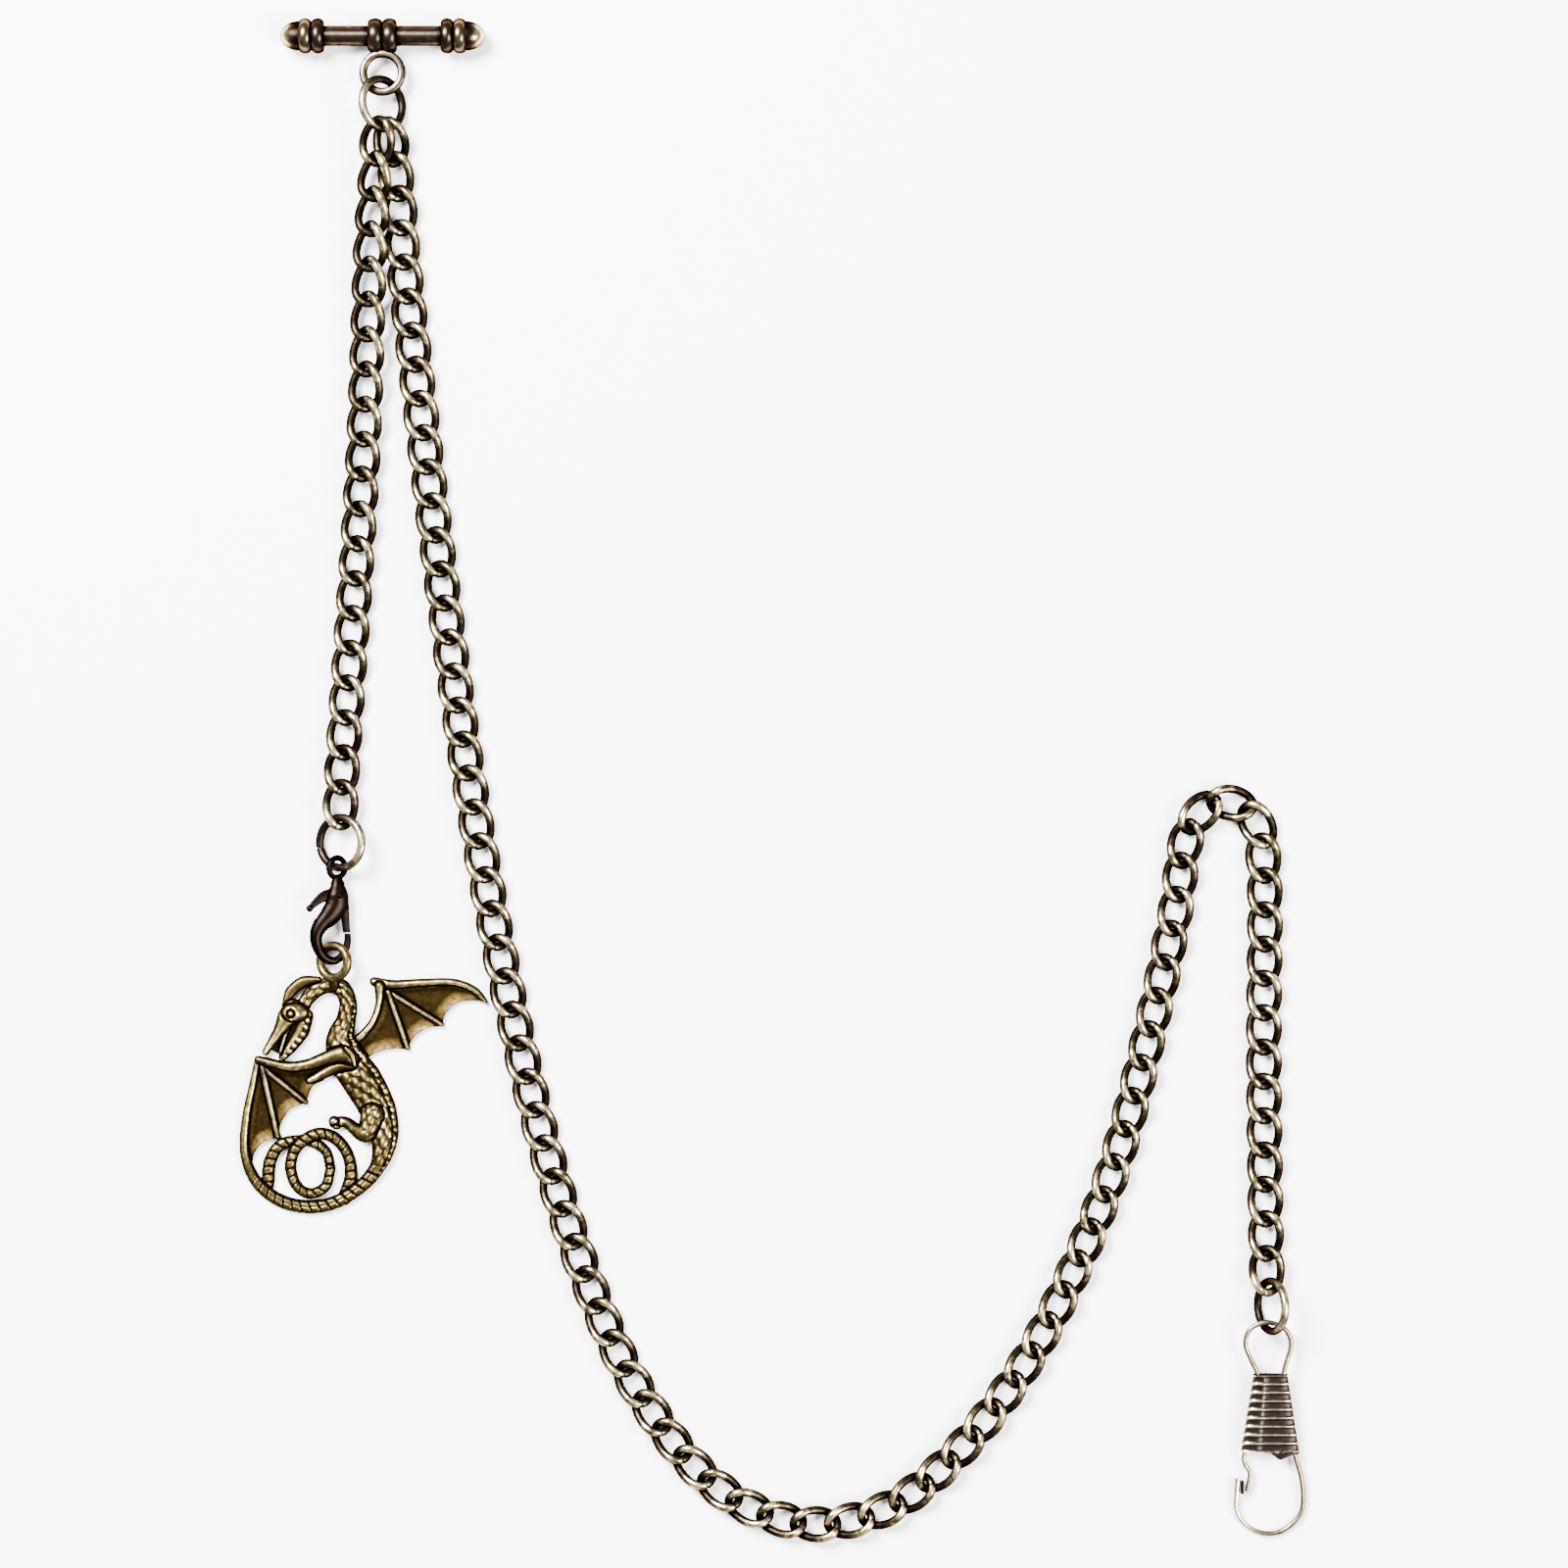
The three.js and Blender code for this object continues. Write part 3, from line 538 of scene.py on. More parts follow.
add_jump_ring("top_ring_wire", "top_jump_ring", "top_ring", 0.74, 0.12, 0.5)
add_jump_ring("fob_ring_wire", "fob_jump_ring", "fob_ring", -0.515, 0, 3.35)
add_jump_ring("clip_ring_wire", "clip_jump_ring", "clip_ring", -1.08, 0, 2.6)


# ---------- T-bar ----------

BAR_LENGTH = 33.4
ROD_RADIUS = 1.65
BEAD_RADIUS = 2.88
BEAD_WIDTH = 2.05
COLLAR_BEAD_WIDTH = 2.35
DOME_RADIUS = 2.4
DOME_HEIGHT = 3.1
GROOVE_DEPTH = 0.7
EYE_OUTER = 7.6
EYE_WIRE = 1.35
EYE_DROP = 6.0
BAR_SIDES = 72

bar_middle = cad_centre("t_bar_rod")
finial_start = BAR_LENGTH / 2 - 2 * BEAD_WIDTH - DOME_HEIGHT


def bead(start, width):
    """Half of a turned bead's outline."""
    angle = np.linspace(0, math.pi, 19)
    radius = BEAD_RADIUS - GROOVE_DEPTH * (1 - np.sin(angle))
    return np.stack([radius, start + width * (1 - np.cos(angle)) / 2], 1)


def turned_part(profile, worn, mirrored=False):
    points, faces = lathe(profile, BAR_SIDES)
    if mirrored:
        points[:, 0] *= -1
        faces = [face[::-1] for face in faces]
    wear_and_shade = np.repeat(worn, BAR_SIDES)
    # painted light: each turned part is made up to half darker towards its underside, as if lit from above
    lit_from_above = points[:, 2] / np.maximum(np.linalg.norm(points[:, 1:], axis=1), 0.01)
    wear_and_shade = wear_and_shade * (0.5 + 0.5 * smoothstep(-0.4, 0.9, lit_from_above))
    return points + bar_middle, faces, wear_and_shade


def bead_wear(profile, bright):
    return bright * smoothstep(BEAD_RADIUS - GROOVE_DEPTH, BEAD_RADIUS, profile[:, 0]) + 0.04


def finial_part(mirrored):
    beads = np.vstack([bead(0, BEAD_WIDTH), bead(BEAD_WIDTH, BEAD_WIDTH)])
    angle = np.linspace(0, math.pi / 2, 20)[:-1]
    dome = np.stack([DOME_RADIUS * np.cos(angle), 2 * BEAD_WIDTH + DOME_HEIGHT * np.sin(angle)], 1)
    profile = np.vstack([[[ROD_RADIUS - 0.1, 0]], beads, dome, [[0.05, 2 * BEAD_WIDTH + DOME_HEIGHT]]])
    profile[:, 1] += finial_start
    dome_wear = 0.12 + 0.86 * smoothstep(0.05, 0.75, angle)
    bead_tone = np.repeat([0.42, 0.66], len(beads) // 2)
    worn = np.concatenate([[0.03], bead_wear(beads, bead_tone), dome_wear, [0.98]])
    return turned_part(profile, worn, mirrored)


def rod_part():
    half = finial_start + 0.4
    profile = [[ROD_RADIUS, place] for place in np.linspace(-half, half, 40)]
    place = np.abs(np.array(profile)[:, 1])
    worn = 0.52 - 0.4 * smoothstep(finial_start - 0.9, finial_start, place)
    worn -= 0.4 * (1 - smoothstep(COLLAR_BEAD_WIDTH, COLLAR_BEAD_WIDTH + 0.9, place))
    return turned_part(profile, worn)


def collar_part():
    beads = np.vstack([bead(-COLLAR_BEAD_WIDTH, COLLAR_BEAD_WIDTH), bead(0, COLLAR_BEAD_WIDTH)])
    inner = ROD_RADIUS - 0.1
    profile = np.vstack([[[inner, -COLLAR_BEAD_WIDTH]], beads, [[inner, COLLAR_BEAD_WIDTH]]])
    worn = np.concatenate([[0.03], bead_wear(beads, 0.42), [0.03]])
    band = turned_part(profile, worn)
    line = ring_line((EYE_OUTER - EYE_WIRE) / 2, 0, 0, 97)[:-1]
    line = line + bar_middle - [0, EYE_DROP, 0]
    points, faces, outward = tube(line, EYE_WIRE / 2, EYE_WIRE / 2, 24, closed=True, square=0.62)
    # painted highlight: a broad light band on the eye's top face, with its rounded sides darker
    flat = smoothstep(0.55, 0.95, outward[:, 2])
    return joined([band, (points, faces, 0.1 + 0.6 * flat)])


add_piece("t_bar_rod_bar", rod_part(), "t_bar", "t_bar_brass", BAR_BRASS, "t_bar_rod")
add_piece("t_bar_collar_and_eye", collar_part(), "t_bar", "t_bar_brass", BAR_BRASS, "t_bar_collar")
add_piece("t_bar_left_end", finial_part(True), "t_bar", "t_bar_brass", BAR_BRASS, "t_bar_finial_left")
add_piece(
    "t_bar_right_end", finial_part(False), "t_bar", "t_bar_brass", BAR_BRASS, "t_bar_finial_right"
)


# ---------- lobster clasp ----------
# Its own frame has the eye at the origin and the hook towards -Y.

CLASP_TURN = turned(0.05, 0.31, 0)
CLASP_PIVOT = np.array([0.3, -4.4, 0])
CLASP_LINE = [
    (0.0, -1.5), (0.1, -2.8), (0.15, -4.4), (0.0, -6.0), (-1.1, -7.7), (-2.6, -9.3), (-3.35, -11.0),
    (-3.1, -12.9), (-2.0, -14.6), (-0.3, -15.2), (1.1, -14.3), (1.8, -12.6), (1.9, -10.75),
]
CLASP_HALF_WIDTHS = [0.7, 1.3, 1.9, 2.05, 1.8, 1.35, 1.08, 0.92, 0.78, 0.68, 0.62, 0.62, 0.52]
CLASP_HALF_HEIGHTS = [0.6, 1.05, 1.38, 1.4, 1.3, 1.12, 0.98, 0.88, 0.76, 0.66, 0.6, 0.6, 0.48]
CLASP_SLOT = 1.35
CLASP_SLOT_ENDS = (-2.7, -8.3)
CLASP_EYE_RADIUS = 1.6
PIN_RADIUS = 0.45
LEVER_LINE = [
    (-4.4, -6.6), (-3.6, -5.8), (-2.3, -4.8), (-0.9, -4.35), (0.4, -4.5), (1.1, -5.6), (1.4, -7.6),
    (1.75, -10.6),
]
LEVER_HALF_WIDTHS = [0.42, 0.6, 0.9, 1.0, 1.1, 0.9, 0.72, 0.6]
LEVER_HALF_THICKNESS = 0.35

clasp_origin = cad_centre("lobster_pin") - CLASP_TURN @ CLASP_PIVOT


def plane_points(points):
    return np.array([(x, y, 0.0) for x, y in points])


def in_clasp(points):
    return points @ CLASP_TURN.T + clasp_origin


def cut_away(points, faces, cutters):
    """The closed mesh less the cutters, by Blender's exact boolean. Returns its points and faces."""
    empty = np.zeros(len(points))
    target = bpy.data.objects.new("cut_target", make_mesh("cut_target", points, faces, empty))
    bpy.context.scene.collection.objects.link(target)
    tools = []
    for cutter_points, cutter_faces in cutters:
        mesh = make_mesh("cutter", cutter_points, cutter_faces, np.zeros(len(cutter_points)))
        tool = bpy.data.objects.new("cutter", mesh)
        bpy.context.scene.collection.objects.link(tool)
        cut = target.modifiers.new("cut", "BOOLEAN")
        cut.operation = "DIFFERENCE"
        cut.solver = "EXACT"
        cut.object = tool
        tools.append(tool)
    bpy.context.view_layer.update()
    graph = bpy.context.evaluated_depsgraph_get()
    result = bpy.data.meshes.new_from_object(target.evaluated_get(graph))
    cut_points = np.array([vertex.co for vertex in result.vertices]) / MM
    cut_faces = [tuple(polygon.vertices) for polygon in result.polygons]
    for helper in [target, *tools]:
        bpy.data.objects.remove(helper)
    bpy.data.meshes.remove(result)
    return cut_points, cut_faces


def box_part(low, high):
    corners = [
        (x, y, z) for x in (low[0], high[0]) for y in (low[1], high[1]) for z in (low[2], high[2])
    ]
    faces = [(0, 1, 3, 2), (4, 6, 7, 5), (0, 4, 5, 1), (2, 3, 7, 6), (0, 2, 6, 4), (1, 5, 7, 3)]
    return np.array(corners, float), faces


def pin_part(radius, half_length, sides=32):
    """A pin with a slightly domed head at each end."""
    profile = [(0.1, -half_length), (radius * 0.75, -half_length + 0.03), (radius, -half_length + 0.14)]
    profile += [(r, -h) for r, h in reversed(profile)]
    points, faces = lathe(profile, sides)
    upright = np.stack([points[:, 1], points[:, 2], points[:, 0]], 1)
    return upright + CLASP_PIVOT, faces


def clasp_body_part():
    line = through(plane_points(CLASP_LINE), 7)
    wide = spread_along(CLASP_HALF_WIDTHS, len(line))
    high = spread_along(CLASP_HALF_HEIGHTS, len(line))
    points, faces, _ = tube(line, wide, high, 28)
    slot = box_part((-6, CLASP_SLOT_ENDS[1], -CLASP_SLOT / 2), (4, CLASP_SLOT_ENDS[0], CLASP_SLOT / 2))
    bore = pin_part(PIN_RADIUS + 0.1, 4)
    points, faces = cut_away(points, faces, [slot, bore])
    tip = smoothstep(-13.0, -15.4, points[:, 1])
    # painted light: the body's top half is made lighter, as if lit from above, more so towards +X; the hook's
    # tip is lighter from wear
    lit_upper_side = smoothstep(-0.2, 1.3, points[:, 2])
    wear_and_shade = 0.12 + 0.4 * lit_upper_side + 0.2 * tip + 0.14 * smoothstep(-1.5, 1.8, points[:, 0]) * lit_upper_side
    # painted shade: the faces inside the slot are made near-black
    inside = np.abs(points[:, 2]) < CLASP_SLOT / 2 + 0.02
    in_slot = inside & (points[:, 1] > CLASP_SLOT_ENDS[1]) & (points[:, 1] < CLASP_SLOT_ENDS[0])
    wear_and_shade[in_slot] = 0.02
    eye = ring_line(CLASP_EYE_RADIUS, 0, 0, 65)[:-1] @ turned(0, 0.4, 0).T
    eye_points, eye_faces, eye_outward = tube(eye, 0.5, 0.5, 16, closed=True)
    # painted light: the eye is lighter where it faces up
    eye_tone_and_shade = 0.08 + 0.3 * smoothstep(0, 1, eye_outward[:, 2])
    whole = joined([(points, faces, wear_and_shade), (eye_points, eye_faces, eye_tone_and_shade)])
    return in_clasp(whole[0]), whole[1], whole[2]


def clasp_lever_part():
    line = through(plane_points(LEVER_LINE), 8)
    wide = spread_along(LEVER_HALF_WIDTHS, len(line))
    points, faces, _ = tube(line, wide, LEVER_HALF_THICKNESS, 16, square=0.6)
    points, faces = cut_away(points, faces, [pin_part(PIN_RADIUS + 0.1, 4)])
    # painted light: the lever is lighter on its top face than below
    wear_and_shade = 0.1 + 0.2 * smoothstep(-0.2, 0.35, points[:, 2])
    thumb = lathe([(0.6 * math.sin(a), -0.6 * math.cos(a)) for a in np.linspace(0.06, 3.08, 14)], 24)
    thumb_points = thumb[0] + [-4.45, -6.6, 0.1]
    whole = joined([(points, faces, wear_and_shade), (thumb_points, thumb[1], np.full(len(thumb_points), 0.55))])
    return in_clasp(whole[0] - [0, 0, 0.1]), whole[1], whole[2]


def clasp_spring_part():
    """Three turns of fine wire round the pin, in the slot above the lever."""
    angle = np.linspace(0, 3 * FULL_TURN, 97)
    rise = np.linspace(0.34, 0.57, 97)
    radius = PIN_RADIUS + 0.26
    coil = np.stack([radius * np.cos(angle), radius * np.sin(angle), rise], 1) + CLASP_PIVOT
    points, faces, _ = tube(coil, 0.045, 0.045, 8)
    return in_clasp(points), faces, np.full(len(points), 0.5)


def clasp_pin_part():
    points, faces = pin_part(PIN_RADIUS, 1.4)
    return in_clasp(points), faces, np.full(len(points), 0.3)


add_piece(
    "clasp_body_casting", clasp_body_part(), "lobster", "clasp_brass", CLASP_BRASS, "lobster_body"
)
add_piece("clasp_rivet", clasp_pin_part(), "lobster", "clasp_brass", CLASP_BRASS, "lobster_pin")
add_piece("clasp_coil", clasp_spring_part(), "lobster", "spring_steel", SPRING_STEEL, "lobster_spring")
add_piece(
    "clasp_thumb_lever", clasp_lever_part(), "lobster_lever", "clasp_brass", CLASP_BRASS, "lobster_lever"
)


# ---------- dragon charm ----------
# Its own frame has the bail's centre at the origin. The casting is a field of heights over its flat
# back. Each feature is stamped over the ones before it, which leaves a dark groove round it.

CHARM_GRID = 0.125
CHARM_LOW = (-17.5, -43.0)
CHARM_HIGH = (26.5, 1.5)
CHARM_TOP = 2.12
BAIL_CENTRE = np.array([-71.3, -29.5, 2.3])
BAIL_OUTER = 6.7
BAIL_WIRE = 1.5

DRAGON_SPINE = [
    (-1.2, -3.8), (1.0, -4.3), (2.1, -6.6), (1.8, -9.6), (0.9, -12.6), (1.7, -15.6), (4.4, -19.4),
    (6.9, -24.0), (8.1, -28.6), (7.0, -33.4), (3.4, -37.4), (-2.0, -39.9), (-8.0, -39.4),
    (-12.6, -36.2), (-14.7, -31.4), (-14.5, -25.6), (-13.4, -20.0), (-12.6, -15.9),
]
SPINE_WIDTHS = [
    1.3, 1.45, 1.45, 1.6, 2.2, 3.0, 3.3, 3.0, 2.2, 1.3, 1.1, 1.1, 1.1, 1.0, 0.8, 0.7, 0.6, 0.5,
]
DRAGON_TAIL = [
    (1.6, -38.6), (2.6, -35.0), (2.1, -31.6), (0.1, -28.9), (-2.4, -28.1), (-4.9, -29.1),
    (-6.8, -31.3), (-7.2, -34.0), (-6.1, -36.8), (-4.0, -37.9), (-1.6, -36.8), (-0.7, -33.8),
    (-1.5, -31.0), (-3.6, -29.5), (-6.4, -29.3), (-8.9, -30.0), (-10.5, -32.4), (-11.0, -36.4),
]
# Each wing skin is a list of smooth stretches with corners between them.
LEFT_SKIN = [
    [(-12.6, -15.9), (-9.0, -16.9), (-5.4, -17.2), (-1.0, -17.0)],
    [(-1.0, -17.0), (-1.6, -19.2), (-3.6, -20.4), (-4.7, -23.1)],
    [(-4.7, -23.1), (-7.2, -24.1), (-8.7, -26.3), (-9.3, -28.7)],
    [(-9.3, -28.7), (-11.6, -29.5), (-13.1, -31.3), (-13.7, -34.8)],
    [(-13.7, -34.8), (-14.7, -31.0), (-14.5, -26.0), (-13.5, -20.6), (-12.6, -15.9)],
]
RIGHT_SKIN = [
    [(6.2, -3.2), (9.6, -3.6), (14.2, -3.2), (19.7, -3.2), (23.0, -4.5), (24.9, -6.7)],
    [(24.9, -6.7), (22.7, -6.4), (20.0, -6.8), (18.1, -8.6), (17.5, -10.6)],
    [(17.5, -10.6), (15.1, -10.9), (13.0, -12.3), (11.9, -14.3)],
    [(11.9, -14.3), (9.0, -14.3), (6.6, -15.0), (4.6, -16.4)],
    [(4.6, -16.4), (3.2, -13.6), (5.2, -11.4), (7.0, -8.4), (7.1, -5.4), (6.2, -3.2)],
]
MOUTH = [
    [(-6.6, -9.2), (-8.6, -12.4), (-10.2, -14.6)],
    [(-10.2, -14.6), (-8.6, -15.2)],
    [(-8.6, -15.2), (-6.2, -9.6), (-6.6, -9.2)],
]


def line_across(points, widths):
    """The smooth line through the points: places, directions, lengths, knots and widths."""
    steps = 40
    curve = through(points, steps)
    knot = np.linspace(0, len(points) - 1, len(curve))
    length = np.concatenate([[0], np.cumsum(np.linalg.norm(np.diff(curve, axis=0), axis=1))])
    even = np.linspace(0, length[-1], int(length[-1] / 0.1) + 2)
    places = np.stack([np.interp(even, length, curve[:, axis]) for axis in (0, 1)], 1)
    knots = np.interp(even, length, knot)
    along = np.gradient(places, axis=0)
    along /= np.linalg.norm(along, axis=1)[:, None]
    return places, along, even, knots, np.interp(knots, np.arange(len(points)), widths)


def scales(along, across, pitch, width, depth):
    """Roof-tile scales in rows, each row half a scale aside from the last."""
    best = np.zeros_like(along)
    row = np.floor(along / pitch)
    for step in (-1, 0, 1):
        here = row + step
        aside = across / width - 0.5 * (here % 2)
        aside -= np.round(aside)
        ahead = along / pitch - here - 0.5
        dome = 1 - (ahead / 0.95) ** 2 - (aside / 0.56) ** 2
        best = np.maximum(best, np.sqrt(np.maximum(dome, 0)) * (1 + 0.5 * ahead))
    return depth * (best - 0.75)


def cross_grooves(along, pitch, depth, half_width=0.12):
    apart = (along / pitch - np.floor(along / pitch) - 0.5) * pitch
    return -depth * np.exp(-((apart / half_width) ** 2))


def bead_row(along, offset, pitch, radius, depth):
    apart = (along / pitch - np.floor(along / pitch) - 0.5) * pitch
    return depth * np.sqrt(np.maximum(1 - (apart**2 + offset**2) / radius**2, 0))


def spine_pattern(along, side, width, knot):
    """Scales on the neck and torso, blocks round the tail, and a row of beads down the back."""
    across = side * width
    torso = smoothstep(3.6, 4.4, knot) * smoothstep(9.2, 8.6, knot)
    neck = smoothstep(3.9, 3.4, knot)
    tail = smoothstep(8.8, 9.3, knot) * smoothstep(13.6, 12.8, knot)
    pattern = torso * scales(along, across, 1.6, 1.8, 0.62)
    pattern += neck * scales(along, across, 1.3, 1.35, 0.55)
    groove = 0.12 * np.exp(-(((side + 0.1) / 0.14) ** 2))
    pattern += tail * (cross_grooves(along + 0.35 * side, 1.5, 0.3) - groove)
    ridge = smoothstep(1.6, 2.4, knot) * smoothstep(9.6, 9.0, knot)
    edge = np.exp(-(((side - 0.62) * width / 0.16) ** 2))
    pattern -= 0.26 * ridge * edge
    pattern += ridge * bead_row(along, (side - 0.82) * width, 0.95, 0.46, 0.34)
    return pattern


def tail_pattern(along, side, width, knot):
    ring = cross_grooves(along + 0.3 * side, 1.3, 0.26)
    return ring + 0.5 * scales(along, side * width, 1.3, 1.0, 0.22)


def neck_pattern(along, side, width, knot):
    return scales(along, side * width, 1.4, 1.5, 0.5)


def leg_pattern(along, side, width, knot):
    return smoothstep(1.6, 0.6, knot) * scales(along, side * width, 1.3, 1.5, 0.4)


def jaw_pattern(along, side, width, knot):
    return bead_row(along, (side - 0.45) * width, 1.15, 0.58, 0.42) - 0.16 * (side > 0)


class Relief:
    """The charm's heights on a grid, and how far inside its outline each point of the grid lies."""

    def __init__(self):
        across = np.arange(CHARM_LOW[0], CHARM_HIGH[0], CHARM_GRID)
        up = np.arange(CHARM_LOW[1], CHARM_HIGH[1], CHARM_GRID)
        self.x, self.y = np.meshgrid(across, up, indexing="ij")
        self.inside = np.full(self.x.shape, -5.0)
        self.height = np.zeros(self.x.shape)
        self.rim = np.zeros(self.x.shape)

    def window(self, places, margin):
        low, high = places.min(0) - margin, places.max(0) + margin
        rows, columns = (
            np.clip(((np.array([low[axis], high[axis]]) - CHARM_LOW[axis]) / CHARM_GRID).astype(int), 0, None)
            for axis in (0, 1)
        )
        return slice(rows[0], rows[1] + 2), slice(columns[0], columns[1] + 2)

    def put(self, part, depth_in, height, edge):
        """Stamps heights where depth_in is above 0, and grooves what lies just outside."""
        groove = 0.3 * np.exp(-((depth_in / 0.13) ** 2)) * (depth_in <= 0) * (self.inside[part] > 0)
        self.height[part] -= groove
        new = depth_in > 0
        self.height[part] = np.where(new, height, self.height[part])
        self.rim[part] = np.where(new, edge, self.rim[part])
        self.inside[part] = np.maximum(self.inside[part], depth_in)

    def tube(self, points, widths, edge, top, pattern=None, dip=0.0):
        places, along, lengths, knots, half = line_across(points, widths)
        part = self.window(places, max(widths) + 1)
        x, y = self.x[part].ravel(), self.y[part].ravel()
        nearest = np.empty(len(x), int)
        for start in range(0, len(x), 8000):
            piece = slice(start, start + 8000)
            gap = (x[piece, None] - places[None, :, 0]) ** 2
            gap = gap + (y[piece, None] - places[None, :, 1]) ** 2
            nearest[piece] = (np.sqrt(gap) - half[None, :]).argmin(1)
        off = np.stack([x, y], 1) - places[nearest]
        direction = along[nearest]
        ahead = (off * direction).sum(1)
        beside = direction[:, 0] * off[:, 1] - direction[:, 1] * off[:, 0]
        at_end = (nearest == 0) & (ahead < 0) | (nearest == len(places) - 1) & (ahead > 0)
        apart = np.where(at_end, np.hypot(ahead, beside), np.abs(beside))
        width = half[nearest]
        share = np.clip(apart / width, 0, 1)
        crown = top(width) if callable(top) else top
        height = edge + (crown - edge) * np.sqrt(1 - share**2) - dip * np.exp(-((share / 0.5) ** 2))
        if pattern:
            height = height + pattern(lengths[nearest] + ahead, beside / width, width, knots[nearest])
        shape = self.x[part].shape
        self.put(part, (width - apart).reshape(shape), height.reshape(shape), edge)

    def skin(self, stretches, height, sag, rim):
        """A thin plate inside closed stretches, sunk a little towards its middle."""
        outline = np.vstack([through(stretch, 24) for stretch in stretches])
        part = self.window(outline, 1)
        x, y = self.x[part], self.y[part]
        near = np.full(x.shape, 9.0)
        within = np.zeros(x.shape, bool)
        for (ax, ay), (bx, by) in zip(outline, np.roll(outline, -1, 0)):
            span = max((bx - ax) ** 2 + (by - ay) ** 2, 1e-12)
            share = np.clip(((x - ax) * (bx - ax) + (y - ay) * (by - ay)) / span, 0, 1)
            near = np.minimum(near, np.hypot(x - ax - share * (bx - ax), y - ay - share * (by - ay)))
            if ay != by:
                crossing = ax + (y - ay) / (by - ay) * (bx - ax)
                within ^= ((ay > y) != (by > y)) & (x < crossing)
        depth_in = np.where(within, near, -near)
        sunk = height - sag * smoothstep(0.1, 1.9, near) + rim * np.exp(-((near / 0.24) ** 2))
        self.put(part, depth_in, sunk, height)

    def dome(self, centre, radii, edge, top):
        places = np.array([centre], float)
        part = self.window(places, max(radii) + 1)
        x, y = self.x[part] - centre[0], self.y[part] - centre[1]
        share = np.hypot(x / radii[0], y / radii[1])
        height = edge + (top - edge) * np.sqrt(np.maximum(1 - share**2, 0))
        self.put(part, (1 - share) * min(radii), height, edge)

    def ring(self, centre, radius, half_width, rise):
        """Raises a thin ring on what is there already."""
        apart = np.hypot(self.x - centre[0], self.y - centre[1]) - radius
        self.height += rise * np.exp(-((apart / half_width) ** 2))


